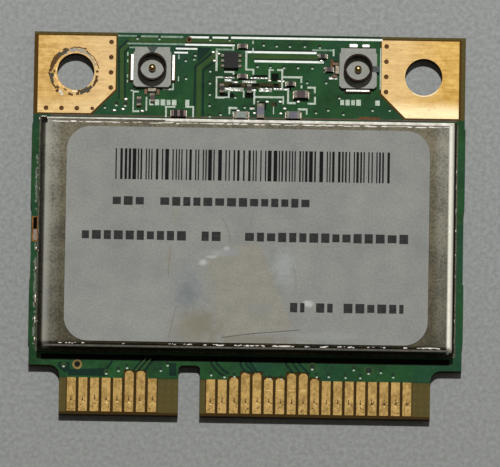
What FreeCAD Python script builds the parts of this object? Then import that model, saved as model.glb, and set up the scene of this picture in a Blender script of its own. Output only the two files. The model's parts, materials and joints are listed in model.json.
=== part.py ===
import FreeCAD, Part
import os
import re

import Sketcher
from FreeCAD import Placement, Rotation, Vector

# Half-length wireless network card for a laptop, lying flat with its parts side up.
# X runs along the 30 mm side, Y from the contact edge towards the mounting holes, Z up.
# The origin is under the middle of the outline, on the plane that the card lies on.
# All sizes are in millimetres.

SIZES = [
    # circuit board outline
    ("board_length", 30.0, "card outline along X"),
    ("board_width", 26.8, "card outline along Y, contact tabs included"),
    ("laminate_thickness", 0.9, "glass fibre board without its solder mask"),
    ("mask_thickness", 0.05, "solder mask over copper, each side"),
    ("tab_height", 3.4, "shoulder to contact edge"),
    ("tab_side_inset", 2.15, "board side to tab side, both sides"),
    ("shoulder_radius", 0.75, "concave corner between shoulder and tab"),
    ("key_centre_inset", 11.15, "left board side to the middle of the key notch"),
    ("key_width", 1.5, "key notch between the two tabs"),
    ("key_depth", 3.5, "key notch from the contact edge"),
    ("key_radius", 0.3, "inner corners of the key notch"),
    ("stub_proud", 0.06, "breakaway stubs left on both board sides"),
    ("stub_ramp", 0.15, "slope at the ends of a breakaway stub"),
    ("upper_stub_from_top", 6.4, "top edge to the upper stub"),
    ("upper_stub_length", 5.8, "upper breakaway stub"),
    ("lower_stub_from_top", 17.3, "top edge to the lower stub"),
    ("lower_stub_length", 4.4, "lower breakaway stub"),
    # edge contacts
    ("gold_thickness", 0.04, "gilded copper of contacts and mounting pads"),
    ("contact_pitch", 0.8, "contact to contact"),
    ("contact_width", 0.6, "one contact"),
    ("contact_edge_gap", 0.2, "contact edge of the board to the contacts"),
    ("contact_short", 2.35, "plain contact"),
    ("contact_medium", 2.5, "contact that ends at a via"),
    ("contact_long", 2.85, "contact that runs up into the mask"),
    ("contact_chamfer", 0.16, "upper corners of medium and long contacts"),
    ("left_contact_inset", 0.85, "left tab side to the first contact's middle"),
    ("right_contact_inset", 0.75, "key notch to the first contact's middle"),
    ("back_contact_shift", 0.4, "underside contacts sit half a pitch on"),
    ("mask_to_contact", 0.1, "bare laminate around a contact that enters the mask"),
    ("bare_tab", 2.55, "tab left without mask, from the contact edge"),
    # mounting holes and their pads
    ("hole_diameter", 2.6, "mounting hole"),
    ("hole_from_side", 2.9, "board side to the hole's middle"),
    ("hole_from_top", 2.8, "top edge to the hole's middle"),
    ("ground_pad_length", 5.4, "gilded pad along X"),
    ("ground_pad_width", 5.45, "gilded pad along Y"),
    ("ground_pad_from_top", 0.26, "top edge to the pad"),
    ("left_pad_from_side", 0.28, "left board side to its pad"),
    ("right_pad_from_side", 0.44, "right board side to its pad"),
    ("ground_pad_chamfer", 1.7, "inner lower corner of the pad"),
    ("mask_to_ground_pad", 0.1, "bare laminate between pad and mask"),
    ("via_diameter", 0.27, "drilled and plated via"),
    ("via_pitch", 1.07, "via to via along a row"),
    ("via_inset", 0.33, "pad edge to the via row"),
    ("via_row_start", 0.42, "pad corner to the first via of the column"),
    ("via_row_end", 0.6, "outer pad edge to the first via of the lower row"),
    # shield can
    ("shield_from_top", 6.25, "top edge to the cover"),
    ("shield_from_shoulder", 1.05, "board shoulder to the cover"),
    ("shield_from_side", 0.57, "board side to the cover"),
    ("shield_height", 1.9, "board surface to the top of the cover"),
    ("cover_sheet", 0.2, "tinned sheet of the cover"),
    ("bend_radius", 0.38, "outer radius of the cover's bends"),
    ("cover_lift", 0.6, "board surface to the lower rim of the cover"),
    ("corner_slit", 0.14, "slit between two folded sides of the cover"),
    ("open_corner", 0.48, "side of the cut-out at the cover's open corner"),
    ("cover_gap", 0.06, "running clearance between cover and fence"),
    ("fence_sheet", 0.2, "tinned sheet of the fence"),
    ("fence_flange", 0.8, "inward top flange of the fence"),
    ("fence_bridge", 1.6, "pick-up bridge across the fence"),
    ("pickup_diameter", 5.0, "round pick-up land in the middle of the bridge"),
    ("foot_opening_width", 1.3, "opening at the fence's foot"),
    ("foot_opening_height", 0.35, "opening at the fence's foot"),
    ("foot_pitch", 2.6, "foot opening to foot opening"),
    ("dimple_radius", 0.3, "snap dimple of the cover, at its rim"),
    ("dimple_tip_radius", 0.16, "snap dimple, at its tip"),
    ("dimple_depth", 0.16, "how far a dimple stands in"),
    ("dimple_from_board", 1.05, "board surface to the dimples' middles"),
    ("dimple_pitch", 7.2, "dimple to dimple"),
    ("dimple_seat_clearance", 0.06, "radial clearance of the fence's snap holes"),
    ("track_width", 0.75, "soldering track that the fence stands on"),
    ("track_proud", 0.12, "track outside the cover's outline"),
    # label on the cover
    ("label_thickness", 0.1, "paper label with its adhesive"),
    ("label_side_margin", 1.85, "cover side to the label"),
    ("label_top_margin", 0.68, "cover edge to the label, hole side"),
    ("label_low_margin", 0.4, "cover edge to the label, contact side"),
    ("label_radius", 1.65, "label corners"),
    # micro coaxial antenna sockets
    ("socket_base", 2.6, "square insulator"),
    ("socket_base_height", 0.4, "square insulator"),
    ("socket_base_chamfer", 0.18, "corners of the insulator"),
    ("socket_mark", 0.5, "index notch in the insulator's edge"),
    ("socket_height", 1.25, "board surface to the ring's lip"),
    ("ring_radius", 1.0, "outer radius of the ring's lip"),
    ("ring_lip_height", 0.3, "lip above the snap groove"),
    ("ring_groove", 0.08, "depth of the snap groove"),
    ("ring_wall", 0.17, "wall of the ring at its lip"),
    ("ring_round", 0.05, "rounding of the ring's mouth"),
    ("ring_seat", 0.15, "how deep the ring sits in the insulator"),
    ("insulator_rise", 0.12, "raised floor inside the ring"),
    ("ground_tab_width", 1.8, "soldering tab of the ring"),
    ("ground_tab_reach", 0.29, "soldering tab outside the insulator"),
    ("tab_thickness", 0.12, "soldering tabs"),
    ("pin_radius", 0.25, "centre pin"),
    ("pin_height", 1.0, "board surface to the pin's tip"),
    ("signal_tab_width", 0.62, "soldering tab of the pin"),
    ("signal_tab_reach", 0.28, "soldering tab outside the insulator"),
    ("left_socket_from_pad", 2.54, "left gilded pad to the socket's middle"),
    ("left_socket_from_top", 2.55, "top edge to the socket's middle"),
    ("right_socket_from_pad", 1.63, "right gilded pad to the socket's middle"),
    ("right_socket_from_top", 2.42, "top edge to the socket's middle"),
    # chip parts: small and large case
    ("small_length", 0.6, "small chip along its terminals"),
    ("small_width", 0.3, "small chip"),
    ("small_height", 0.3, "small chip"),
    ("small_end", 0.15, "terminal of a small chip"),
    ("large_length", 1.0, "large chip along its terminals"),
    ("large_width", 0.5, "large chip"),
    ("large_height", 0.5, "large chip"),
    ("large_end", 0.22, "terminal of a large chip"),
    ("flat_height", 0.35, "chip resistor"),
    ("filter_length", 2.0, "band filter along its terminals"),
    ("filter_width", 1.25, "band filter"),
    ("filter_height", 0.8, "band filter"),
    ("filter_end", 0.35, "terminal of a band filter"),
    ("land_margin", 0.06, "copper land outside a terminal"),
    ("land_gap", 0.04, "bare laminate between land and mask"),
    # places of the chips on the open strip
    ("switch_input_right", -0.53, "chip place: anchor to its middle, rightwards"),
    ("switch_input_up", -0.84, "chip place: anchor to its middle, upwards"),
    ("switch_output_right", -0.5, "chip place: anchor to its middle, rightwards"),
    ("switch_output_up", -2.96, "chip place: anchor to its middle, upwards"),
    ("switch_pull_right", -0.02, "chip place: anchor to its middle, rightwards"),
    ("switch_pull_up", -3.84, "chip place: anchor to its middle, upwards"),
    ("switch_bias_right", 2.85, "chip place: anchor to its middle, rightwards"),
    ("switch_bias_up", -3.44, "chip place: anchor to its middle, upwards"),
    ("line_capacitor_right", 3.59, "chip place: anchor to its middle, rightwards"),
    ("line_capacitor_up", -4.21, "chip place: anchor to its middle, upwards"),
    ("match_coil_right", 0.8, "chip place: anchor to its middle, rightwards"),
    ("match_coil_up", -5.42, "chip place: anchor to its middle, upwards"),
    ("line_coil_right", 3.07, "chip place: anchor to its middle, rightwards"),
    ("line_coil_up", -5.68, "chip place: anchor to its middle, upwards"),
    ("match_capacitor_right", -0.55, "chip place: anchor to its middle, rightwards"),
    ("match_capacitor_up", -5.74, "chip place: anchor to its middle, upwards"),
    ("switch_guard_right", -1.93, "chip place: anchor to its middle, rightwards"),
    ("switch_guard_up", -3.83, "chip place: anchor to its middle, upwards"),
    ("right_feed_right", -2.48, "chip place: anchor to its middle, rightwards"),
    ("right_feed_up", 0.95, "chip place: anchor to its middle, upwards"),
    ("left_shunt_right", 0.05, "chip place: anchor to its middle, rightwards"),
    ("left_shunt_up", -2.02, "chip place: anchor to its middle, upwards"),
    ("left_pull_right", -0.89, "chip place: anchor to its middle, rightwards"),
    ("left_pull_up", -2.31, "chip place: anchor to its middle, upwards"),
    ("left_coil_right", 1.88, "chip place: anchor to its middle, rightwards"),
    ("left_coil_up", -3.13, "chip place: anchor to its middle, upwards"),
    ("right_series_right", -2.02, "chip place: anchor to its middle, rightwards"),
    ("right_series_up", 0.02, "chip place: anchor to its middle, upwards"),
    # antenna switch
    ("switch_length", 1.0, "antenna switch along X"),
    ("switch_width", 1.1, "antenna switch along Y"),
    ("switch_height", 0.45, "antenna switch"),
    ("switch_from_centre", 1.3, "card centre line to the switch, leftwards"),
    ("switch_from_top", 1.88, "top edge to the switch's middle"),
    ("switch_lead_pitch", 0.36, "lead to lead"),
    ("switch_lead_width", 0.18, "one lead"),
    ("switch_lead_reach", 0.2, "lead outside the package"),
    ("switch_lead_height", 0.14, "one lead"),
    # packages under the shield
    ("lead_thickness", 0.12, "flat lead under a package"),
    ("lead_width", 0.25, "flat lead along the package side"),
    ("lead_length", 0.4, "flat lead under the package"),
    ("lead_show", 0.05, "flat lead outside the package side"),
    ("radio_share", 0.52, "side of the radio chip over the depth of the room inside the fence"),
    ("radio_height", 0.8, "radio chip"),
    ("radio_lead_share", 0.077, "lead pitch of the radio chip over its side"),
    ("radio_right_share", -0.1, "room's middle to the radio chip over half the room's length"),
    ("radio_up_share", -0.16, "room's middle to the radio chip over half the room's depth"),
    ("amplifier_share", 0.195, "side of a power amplifier over the room's depth"),
    ("amplifier_height", 0.6, "power amplifier"),
    ("amplifier_lead_share", 0.2, "lead pitch of a power amplifier over its side"),
    ("amplifier_spread_share", 0.5, "room's middle to an amplifier over half the room's length"),
    ("wall_clearance", 1.0, "fence wall to the packages along it"),
    ("package_gap", 0.7, "between neighbouring packages"),
    ("memory_length_share", 0.2, "memory chip over the room's depth"),
    ("memory_width_share", 0.13, "memory chip over the room's depth"),
    ("memory_height", 0.6, "memory chip"),
    ("memory_lead_share", 0.3, "lead pitch of the memory chip over its width"),
    ("crystal_length_share", 0.21, "clock crystal over the room's depth"),
    ("crystal_width_share", 0.165, "clock crystal over the room's depth"),
    ("crystal_base_height", 0.45, "ceramic base of the crystal"),
    ("crystal_lid_height", 0.25, "metal lid of the crystal"),
    ("crystal_lid_inset", 0.2, "base rim around the lid"),
    ("coil_share", 0.2, "power inductor over the room's depth, square"),
    ("coil_height", 1.1, "power inductor"),
    ("coil_corner_share", 0.17, "bevelled corners of the power inductor over its side"),
    ("coil_terminal_share", 0.3, "terminal of the power inductor over its side"),
    ("regulator_share", 0.13, "voltage regulator over the room's depth, square"),
    ("regulator_height", 0.6, "voltage regulator"),
    ("filter_spread_share", 0.2, "room's middle to a band filter over half the room's length"),
    ("bypass_share", 0.205, "bypass capacitor pitch over the radio chip's side"),
    ("bypass_gap", 0.7, "radio chip to the bypass capacitors' middles"),
    ("resistor_pitch", 0.8, "resistor to resistor"),
]

doc = FreeCAD.newDocument("NetworkCard")
sheet = doc.addObject("Spreadsheet::Sheet", "Sizes")
for row, (alias, value, meaning) in enumerate(SIZES, start=1):
    sheet.set(f"A{row}", meaning)
    sheet.set(f"B{row}", str(value))
    sheet.setAlias(f"B{row}", alias)
doc.recompute()

# Places that several pieces share, as expressions in the sheet's names.
LEFT_SIDE = "(-board_length / 2)"
RIGHT_SIDE = "(board_length / 2)"
TOP_EDGE = "(board_width / 2)"
CONTACT_EDGE = "(-board_width / 2)"
SHOULDER = "(-board_width / 2 + tab_height)"
KEY_CENTRE = "(-board_length / 2 + key_centre_inset)"
LAMINATE_TOP = "(mask_thickness + laminate_thickness)"
SURFACE = "(mask_thickness * 2 + laminate_thickness)"
HOLE_Y = "(board_width / 2 - hole_from_top)"
SHIELD_HALF = "(board_length / 2 - shield_from_side)"
SHIELD_TOP = "(board_width / 2 - shield_from_top)"
SHIELD_LOW = "(-board_width / 2 + tab_height + shield_from_shoulder)"
SHIELD_MIDDLE = f"(({SHIELD_TOP} + {SHIELD_LOW}) / 2)"
SHIELD_DEPTH = f"({SHIELD_TOP} - {SHIELD_LOW})"
FENCE_INSET = "(cover_sheet + cover_gap)"
FENCE_TOP = f"({SURFACE} + shield_height - cover_sheet - cover_gap)"
LEFT_PAD_INNER = "(-board_length / 2 + left_pad_from_side + ground_pad_length)"
RIGHT_PAD_INNER = "(board_length / 2 - right_pad_from_side - ground_pad_length)"
LEFT_SOCKET = (f"({LEFT_PAD_INNER} + left_socket_from_pad)", "(board_width / 2 - left_socket_from_top)")
RIGHT_SOCKET = (f"({RIGHT_PAD_INNER} - right_socket_from_pad)", "(board_width / 2 - right_socket_from_top)")
TOP_MIDDLE = ("0", TOP_EDGE)
ROOM_HALF = f"({SHIELD_HALF} - {FENCE_INSET} - fence_sheet)"
ROOM_DEPTH = f"({SHIELD_DEPTH} - {FENCE_INSET} * 2 - fence_sheet * 2)"
ROOM_TOP = f"({SHIELD_MIDDLE} + {ROOM_DEPTH} / 2)"
ROOM_LOW = f"({SHIELD_MIDDLE} - {ROOM_DEPTH} / 2)"
RADIO_SIDE = f"(radio_share * {ROOM_DEPTH})"
RADIO_PLACE = (f"(radio_right_share * {ROOM_HALF})", f"({SHIELD_MIDDLE} + radio_up_share * {ROOM_DEPTH} / 2)")
RADIO_REACH = f"({RADIO_SIDE} / 2 + bypass_gap + large_width / 2)"
AMPLIFIER_SIDE = f"(amplifier_share * {ROOM_DEPTH})"
COIL_SIDE = f"(coil_share * {ROOM_DEPTH})"
COIL_PLACE = (f"({RADIO_PLACE[0]} + {RADIO_REACH} + package_gap + {COIL_SIDE} / 2)",
              f"({RADIO_PLACE[1]} + package_gap)")
CRYSTAL_PLACE = (f"({RADIO_PLACE[0]} - {RADIO_REACH} - package_gap - crystal_length_share * {ROOM_DEPTH} / 2)",
                 f"({RADIO_PLACE[1]} + package_gap)")

LEFT_COUNT = 8
RIGHT_COUNT = 18
LEFT_LONG = (5, 6)
RIGHT_LONG = (3, 4, 7, 8)
RIGHT_MEDIUM = (2, 5, 6, 9)
LEFT_MEDIUM = ()
ENTERS_MASK = 0.15

sub_parts = []


def with_sheet(expression):
    """The sheet's sizes get the sheet's own name in front, as expressions need it."""
    return re.sub(r"\b[a-z]+(?:_[a-z]+)+\b", lambda found: f"Sizes.{found.group()}", expression)


def size(expression):
    """The value that an expression has now."""
    return float(sheet.evalExpression(with_sheet(expression)))


def bind(item, prop, expression):
    item.setExpression(prop, with_sheet(expression))


def place(item, x, y, z):
    for axis, expression in zip("xyz", (x, y, z)):
        bind(item, f"Placement.Base.{axis}", expression)


def named(item, label):
    """A finished sub-part: its label is its file's name."""
    item.Label = label
    sub_parts.append(item)
    return item


def box(name, x, y, z, length, width, height):
    """A block with its middle at X and Y and its underside at Z."""
    item = doc.addObject("Part::Box", name)
    for prop, expression in (("Length", length), ("Width", width), ("Height", height)):
        bind(item, prop, expression)
    place(item, f"{x} - ({length}) / 2", f"{y} - ({width}) / 2", z)
    return item


def cylinder(name, x, y, z, radius, height):
    item = doc.addObject("Part::Cylinder", name)
    bind(item, "Radius", radius)
    bind(item, "Height", height)
    place(item, x, y, z)
    return item


def together(name, items):
    """Separate solids kept as one object."""
    item = doc.addObject("Part::Compound", name)
    item.Links = items
    return item


def joined(name, items):
    item = doc.addObject("Part::MultiFuse", name)
    item.Shapes = items
    item.Refine = True
    return item


def cut(name, base, tools):
    item = doc.addObject("Part::Cut", name)
    item.Base = base
    item.Tool = tools[0] if len(tools) == 1 else together(f"{name}_cuts", tools)
    return item


def rounded(name, base, radius, chosen):
    """Fillets on the edges that the test picks."""
    doc.recompute()
    item = doc.addObject("Part::Fillet", name)
    item.Base = base
    value = size(radius)
    item.Edges = [(number, value, value) for number, edge in enumerate(base.Shape.Edges, start=1) if chosen(edge)]
    return item


def is_vertical(edge):
    start, end = edge.Vertexes[0].Point, edge.Vertexes[-1].Point
    return abs(start.x - end.x) < 1e-6 and abs(start.y - end.y) < 1e-6


def new_body(name):
    return doc.addObject("PartDesign::Body", name)


def sketch_in(body, name, z="0", role="XY_Plane"):
    """A sketch on one of the body's own origin planes, lifted by Z."""
    sketch = body.newObject("Sketcher::SketchObject", name)
    plane = next(item for item in body.Origin.OriginFeatures if item.Role == role)
    sketch.AttachmentSupport = [(plane, "")]
    sketch.MapMode = "FlatFace"
    bind(sketch, "AttachmentOffset.Base.z", z)
    return sketch


def pin_point(sketch, geometry, point, x, y):
    """A point of the sketch tied to the sheet by its X and Y."""
    for kind, expression in (("DistanceX", x), ("DistanceY", y)):
        index = sketch.addConstraint(Sketcher.Constraint(kind, -1, 1, geometry, point, size(expression)))
        bind(sketch, f"Constraints[{index}]", expression)


def draw_outline(sketch, corners):
    """Straight lines through the corners, in order and closed."""
    first = sketch.GeometryCount
    points = [Vector(size(x), size(y), 0) for x, y in corners]
    for start, end in zip(points, points[1:] + points[:1]):
        sketch.addGeometry(Part.LineSegment(start, end))
    for step, (x, y) in enumerate(corners):
        following = (step + 1) % len(corners)
        sketch.addConstraint(Sketcher.Constraint("Coincident", first + step, 2, first + following, 1))
        pin_point(sketch, first + step, 1, x, y)


def draw_circle(sketch, x, y, radius):
    centre = Vector(size(x), size(y), 0)
    index = sketch.addGeometry(Part.Circle(centre, Vector(0, 0, 1), size(radius)))
    pin_point(sketch, index, 3, x, y)
    number = sketch.addConstraint(Sketcher.Constraint("Radius", index, size(radius)))
    bind(sketch, f"Constraints[{number}]", radius)


def pad(body, sketch, height):
    feature = body.newObject("PartDesign::Pad", f"{body.Name}_pad")
    feature.Profile = sketch
    bind(feature, "Length", height)
    return feature


def card_corners():
    """The board's outline with both tabs, the key notch and the breakaway stubs."""
    tab_left = "(-board_length / 2 + tab_side_inset)"
    tab_right = "(board_length / 2 - tab_side_inset)"
    key_left = f"({KEY_CENTRE} - key_width / 2)"
    key_right = f"({KEY_CENTRE} + key_width / 2)"
    key_top = "(-board_width / 2 + key_depth)"
    corners = [(LEFT_SIDE, TOP_EDGE), (RIGHT_SIDE, TOP_EDGE)]
    corners += stub_corners(RIGHT_SIDE, "+ stub_proud")
    corners += [
        (RIGHT_SIDE, SHOULDER), (tab_right, SHOULDER), (tab_right, CONTACT_EDGE),
        (key_right, CONTACT_EDGE), (key_right, key_top), (key_left, key_top), (key_left, CONTACT_EDGE),
        (tab_left, CONTACT_EDGE), (tab_left, SHOULDER), (LEFT_SIDE, SHOULDER),
    ]
    return corners + stub_corners(LEFT_SIDE, "- stub_proud")[::-1]


def stub_corners(side, proud):
    corners = []
    for stub in ("upper_stub", "lower_stub"):
        start = f"({TOP_EDGE} - {stub}_from_top)"
        end = f"({start} - {stub}_length)"
        corners += [
            (side, start), (f"{side} {proud}", f"{start} - stub_ramp"),
            (f"{side} {proud}", f"{end} + stub_ramp"), (side, end),
        ]
    return corners


def card_plate(name, z, thickness):
    """A plate with the card's outline and its rounded inner corners."""
    body = new_body(name)
    outline = sketch_in(body, f"{name}_outline", z)
    draw_outline(outline, card_corners())
    pad(body, outline, thickness)
    doc.recompute()
    shoulder, key_top = size(SHOULDER), size("-board_width / 2 + key_depth")
    tab_half = size("board_length / 2 - tab_side_inset")
    key_sides = [size(f"{KEY_CENTRE} - key_width / 2"), size(f"{KEY_CENTRE} + key_width / 2")]
    round_off(body, "shoulder_radius", [(-tab_half, shoulder), (tab_half, shoulder)])
    round_off(body, "key_radius", [(side, key_top) for side in key_sides])
    return body


def round_off(body, radius, places):
    """Fillets on the upright edges at the given places."""
    tip = body.Tip
    edges = []
    for number, edge in enumerate(tip.Shape.Edges, start=1):
        at = edge.Vertexes[0].Point
        if is_vertical(edge) and any(abs(at.x - x) + abs(at.y - y) < 1e-5 for x, y in places):
            edges.append(f"Edge{number}")
    feature = body.newObject("PartDesign::Fillet", f"{body.Name}_{radius}")
    feature.Base = (tip, edges)
    bind(feature, "Radius", radius)
    doc.recompute()


def via_places(side):
    """Middles of the ground vias of one mounting pad: an inner column and, at the left, a lower row."""
    outer = pad_outer(side)
    sign = "-" if side == "left" else "+"
    back = "+" if side == "left" else "-"
    column = f"({outer} {back} (ground_pad_length - via_inset))"
    top = "(board_width / 2 - ground_pad_from_top - via_row_start)"
    places = [(column, f"({top} - via_pitch * {step})") for step in range(4)]
    if sign == "-":
        row = "(board_width / 2 - ground_pad_from_top - ground_pad_width + via_inset)"
        places += [(f"({outer} + via_row_end + via_pitch * {step})", row) for step in range(4)]
    return places


def pad_outer(side):
    if side == "left":
        return "(-board_length / 2 + left_pad_from_side)"
    return "(board_length / 2 - right_pad_from_side)"


def hole_places():
    return [("(-board_length / 2 + hole_from_side)", HOLE_Y), ("(board_length / 2 - hole_from_side)", HOLE_Y)]


def circuit_board():
    body = card_plate("CircuitBoard", "mask_thickness", "laminate_thickness")
    solid_volume = body.Shape.Volume
    holes = sketch_in(body, "BoardHoles", "mask_thickness")
    for x, y in hole_places():
        draw_circle(holes, x, y, "hole_diameter / 2")
    for side in ("left", "right"):
        for x, y in via_places(side):
            draw_circle(holes, x, y, "via_diameter / 2")
    drilled = body.newObject("PartDesign::Pocket", "BoardDrilling")
    drilled.Profile = holes
    drilled.Type = "ThroughAll"
    drilled.Reversed = True
    doc.recompute()
    if body.Shape.Volume >= solid_volume:
        raise RuntimeError("the drilling removed nothing from the board")
    named(body, "circuit_board")


def corner_plate(name, side, z, thickness, grow="0", outward="0"):
    """A mounting pad's outline, grown inwards for a window and outwards past the board's edges."""
    back = "+" if side == "left" else "-"
    away = "-" if side == "left" else "+"
    outer = f"({pad_outer(side)} {away} ({outward}))"
    inner = f"({pad_outer(side)} {back} (ground_pad_length + {grow}))"
    notch = f"({pad_outer(side)} {back} (ground_pad_length + {grow} - ground_pad_chamfer))"
    top = f"(board_width / 2 - ground_pad_from_top + ({outward}))"
    low = f"(board_width / 2 - ground_pad_from_top - ground_pad_width - {grow})"
    body = new_body(name)
    outline = sketch_in(body, f"{name}_outline", z)
    draw_outline(outline, [(outer, top), (inner, top), (inner, f"{low} + ground_pad_chamfer"),
                           (notch, low), (outer, low)])
    pad(body, outline, thickness)
    return body


def ground_pads():
    """Gilded pads around the mounting holes, above and below."""
    for side, (hole_x, hole_y) in zip(("left", "right"), hole_places()):
        for face, z in (("top", LAMINATE_TOP), ("back", "(mask_thickness - gold_thickness)")):
            name = f"ground_pad_{side}_{face}"
            plate = corner_plate(f"{name}_plate", side, z, "gold_thickness")
            tools = [cylinder(f"{name}_hole", hole_x, hole_y, "0", "hole_diameter / 2", f"{SURFACE} * 2")]
            for step, (x, y) in enumerate(via_places(side)):
                tools.append(cylinder(f"{name}_via_{step}", x, y, "0", "via_diameter / 2", f"{SURFACE} * 2"))
            named(cut(name, plate, tools), name)


def contact_row(shift):
    """Middle, length name and step of every contact along the edge."""
    left_first = "(-board_length / 2 + tab_side_inset + left_contact_inset)"
    right_first = f"({KEY_CENTRE} + key_width / 2 + right_contact_inset)"
    rows = [(left_first, LEFT_COUNT, LEFT_LONG, LEFT_MEDIUM), (right_first, RIGHT_COUNT, RIGHT_LONG, RIGHT_MEDIUM)]
    for first, count, long_ones, medium_ones in rows:
        for step in range(count):
            length = "contact_short"
            if step in long_ones:
                length = "contact_long"
            elif step in medium_ones:
                length = "contact_medium"
            yield f"({first} + {shift} + contact_pitch * {step})", length


def contact_corners(x, length):
    """A contact's outline; the longer ones have bevelled upper corners."""
    left, right = f"({x} - contact_width / 2)", f"({x} + contact_width / 2)"
    low = f"({CONTACT_EDGE} + contact_edge_gap)"
    top = f"({low} + {length})"
    corners = [(left, low), (right, low)]
    if length == "contact_short":
        return corners + [(right, top), (left, top)]
    return corners + [
        (right, f"{top} - contact_chamfer"), (f"{right} - contact_chamfer", top),
        (f"{left} + contact_chamfer", top), (left, f"{top} - contact_chamfer"),
    ]


def edge_contacts(label, z, shift, plain):
    """All gilded contacts of one face, each a solid of its own."""
    fingers = []
    for step, (x, length) in enumerate(contact_row(shift)):
        if plain:
            length = "contact_short"
        body = new_body(f"{label}_{step}")
        outline = sketch_in(body, f"{label}_{step}_outline", z)
        draw_outline(outline, contact_corners(x, length))
        pad(body, outline, "gold_thickness")
        fingers.append(body)
    named(together(label, fingers), label)


def chip_sizes(case):
    """Length, width, height and terminal of a chip case."""
    if case == "flat":
        return "large_length", "large_width", "flat_height", "large_end"
    return f"{case}_length", f"{case}_width", f"{case}_height", f"{case}_end"


def turned_sizes(length, width, turned):
    return (width, length) if turned else (length, width)


def chip(name, case, x, y, turned):
    """A ceramic chip: its body and its two terminals."""
    length, width, height, end = chip_sizes(case)
    inner = f"{length} - {end} * 2"
    along, across = turned_sizes(inner, width, turned)
    core = box(f"{name}_core", x, y, SURFACE, along, across, height)
    ends = []
    for number, sign in enumerate("-+"):
        offset = f"({length} - {end}) / 2"
        end_x, end_y = (x, f"{y} {sign} {offset}") if turned else (f"{x} {sign} {offset}", y)
        along, across = turned_sizes(end, width, turned)
        ends.append(box(f"{name}_end_{number}", end_x, end_y, SURFACE, along, across, height))
    return core, ends


def lands_of_chip(name, case, x, y, turned, grow="0", z=LAMINATE_TOP, height="mask_thickness"):
    """Copper lands under a chip's terminals, or the mask openings around them."""
    length, width, _, end = chip_sizes(case)
    lands = []
    for number, sign in enumerate("-+"):
        offset = f"({length} - {end} + land_margin) / 2"
        land_x, land_y = (x, f"{y} {sign} {offset}") if turned else (f"{x} {sign} {offset}", y)
        along = f"{end} + land_margin + {grow} * 2"
        across = f"{width} + {grow} * 2"
        along, across = turned_sizes(along, across, turned)
        lands.append(box(f"{name}_{number}", land_x, land_y, z, along, across, height))
    return lands


# Chips on the open strip: kind, case, anchor, name of their place in the sheet, turned.
OPEN_CHIPS = [
    ("capacitors", "small", TOP_MIDDLE, "switch_input", False),
    ("capacitors", "small", TOP_MIDDLE, "switch_output", False),
    ("resistors", "small", TOP_MIDDLE, "switch_pull", True),
    ("resistors", "small", TOP_MIDDLE, "switch_bias", False),
    ("capacitors", "large", TOP_MIDDLE, "line_capacitor", False),
    ("inductors", "large", TOP_MIDDLE, "match_coil", True),
    ("inductors", "large", TOP_MIDDLE, "line_coil", False),
    ("capacitors", "large", TOP_MIDDLE, "match_capacitor", False),
    ("resistors", "small", TOP_MIDDLE, "switch_guard", True),
    ("resistors", "small", RIGHT_SOCKET, "right_feed", False),
    ("capacitors", "small", LEFT_SOCKET, "left_shunt", True),
    ("resistors", "small", LEFT_SOCKET, "left_pull", True),
    ("inductors", "large", LEFT_SOCKET, "left_coil", False),
    ("capacitors", "small", RIGHT_SOCKET, "right_series", False),
]


def chip_place(anchor, name):
    return f"({anchor[0]} + {name}_right)", f"({anchor[1]} + {name}_up)"


def open_chips():
    """The chips of the open strip, grouped by kind, with their terminals apart."""
    cores = {"capacitors": [], "inductors": [], "resistors": []}
    terminals = []
    for number, (kind, case, anchor, spot, turned) in enumerate(OPEN_CHIPS):
        x, y = chip_place(anchor, spot)
        core, ends = chip(f"open_chip_{number}", case, x, y, turned)
        cores[kind].append(core)
        terminals += ends
    for kind, items in cores.items():
        named(together(f"open_{kind}", items), f"antenna_strip_{kind}")
    named(together("open_terminals", terminals), "antenna_strip_chip_terminals")


def switch_leads():
    """Middles of the antenna switch's six leads."""
    x, y = switch_place()
    for sign in "-+":
        for step in (-1, 0, 1):
            yield (f"({x} {sign} (switch_length + switch_lead_reach) / 2)", f"({y} + switch_lead_pitch * {step})")


def switch_place():
    return "(0 - switch_from_centre)", f"({TOP_EDGE} - switch_from_top)"


def antenna_switch():
    x, y = switch_place()
    package = box("switch_package", x, y, SURFACE, "switch_length", "switch_width", "switch_height")
    named(package, "antenna_switch")
    leads = [box(f"switch_lead_{step}", lead_x, lead_y, SURFACE,
                 "switch_lead_reach", "switch_lead_width", "switch_lead_height")
             for step, (lead_x, lead_y) in enumerate(switch_leads())]
    named(together("switch_leads", leads), "antenna_switch_leads")


def socket_land_boxes(name, anchor, signal_side, grow, z, height):
    """Lands under a socket's three tabs: two on the ring's sides and one on the signal side."""
    x, y = anchor
    reach = "(socket_base / 2 + ground_tab_reach / 2)"
    signal = "(socket_base / 2 + signal_tab_reach / 2)"
    ground_long = f"ground_tab_width + {grow} * 2"
    ground_short = f"ground_tab_reach + {grow} * 2"
    signal_long = f"signal_tab_width + {grow} * 2"
    signal_short = f"signal_tab_reach + {grow} * 2"
    if signal_side == "low":
        places = [(f"{x} - {reach}", y, ground_short, ground_long), (f"{x} + {reach}", y, ground_short, ground_long),
                  (x, f"{y} - {signal}", signal_long, signal_short)]
    else:
        places = [(x, f"{y} - {reach}", ground_long, ground_short), (x, f"{y} + {reach}", ground_long, ground_short),
                  (f"{x} - {signal}", y, signal_short, signal_long)]
    return [box(f"{name}_{step}", at_x, at_y, z, along, across, height)
            for step, (at_x, at_y, along, across) in enumerate(places)]


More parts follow.
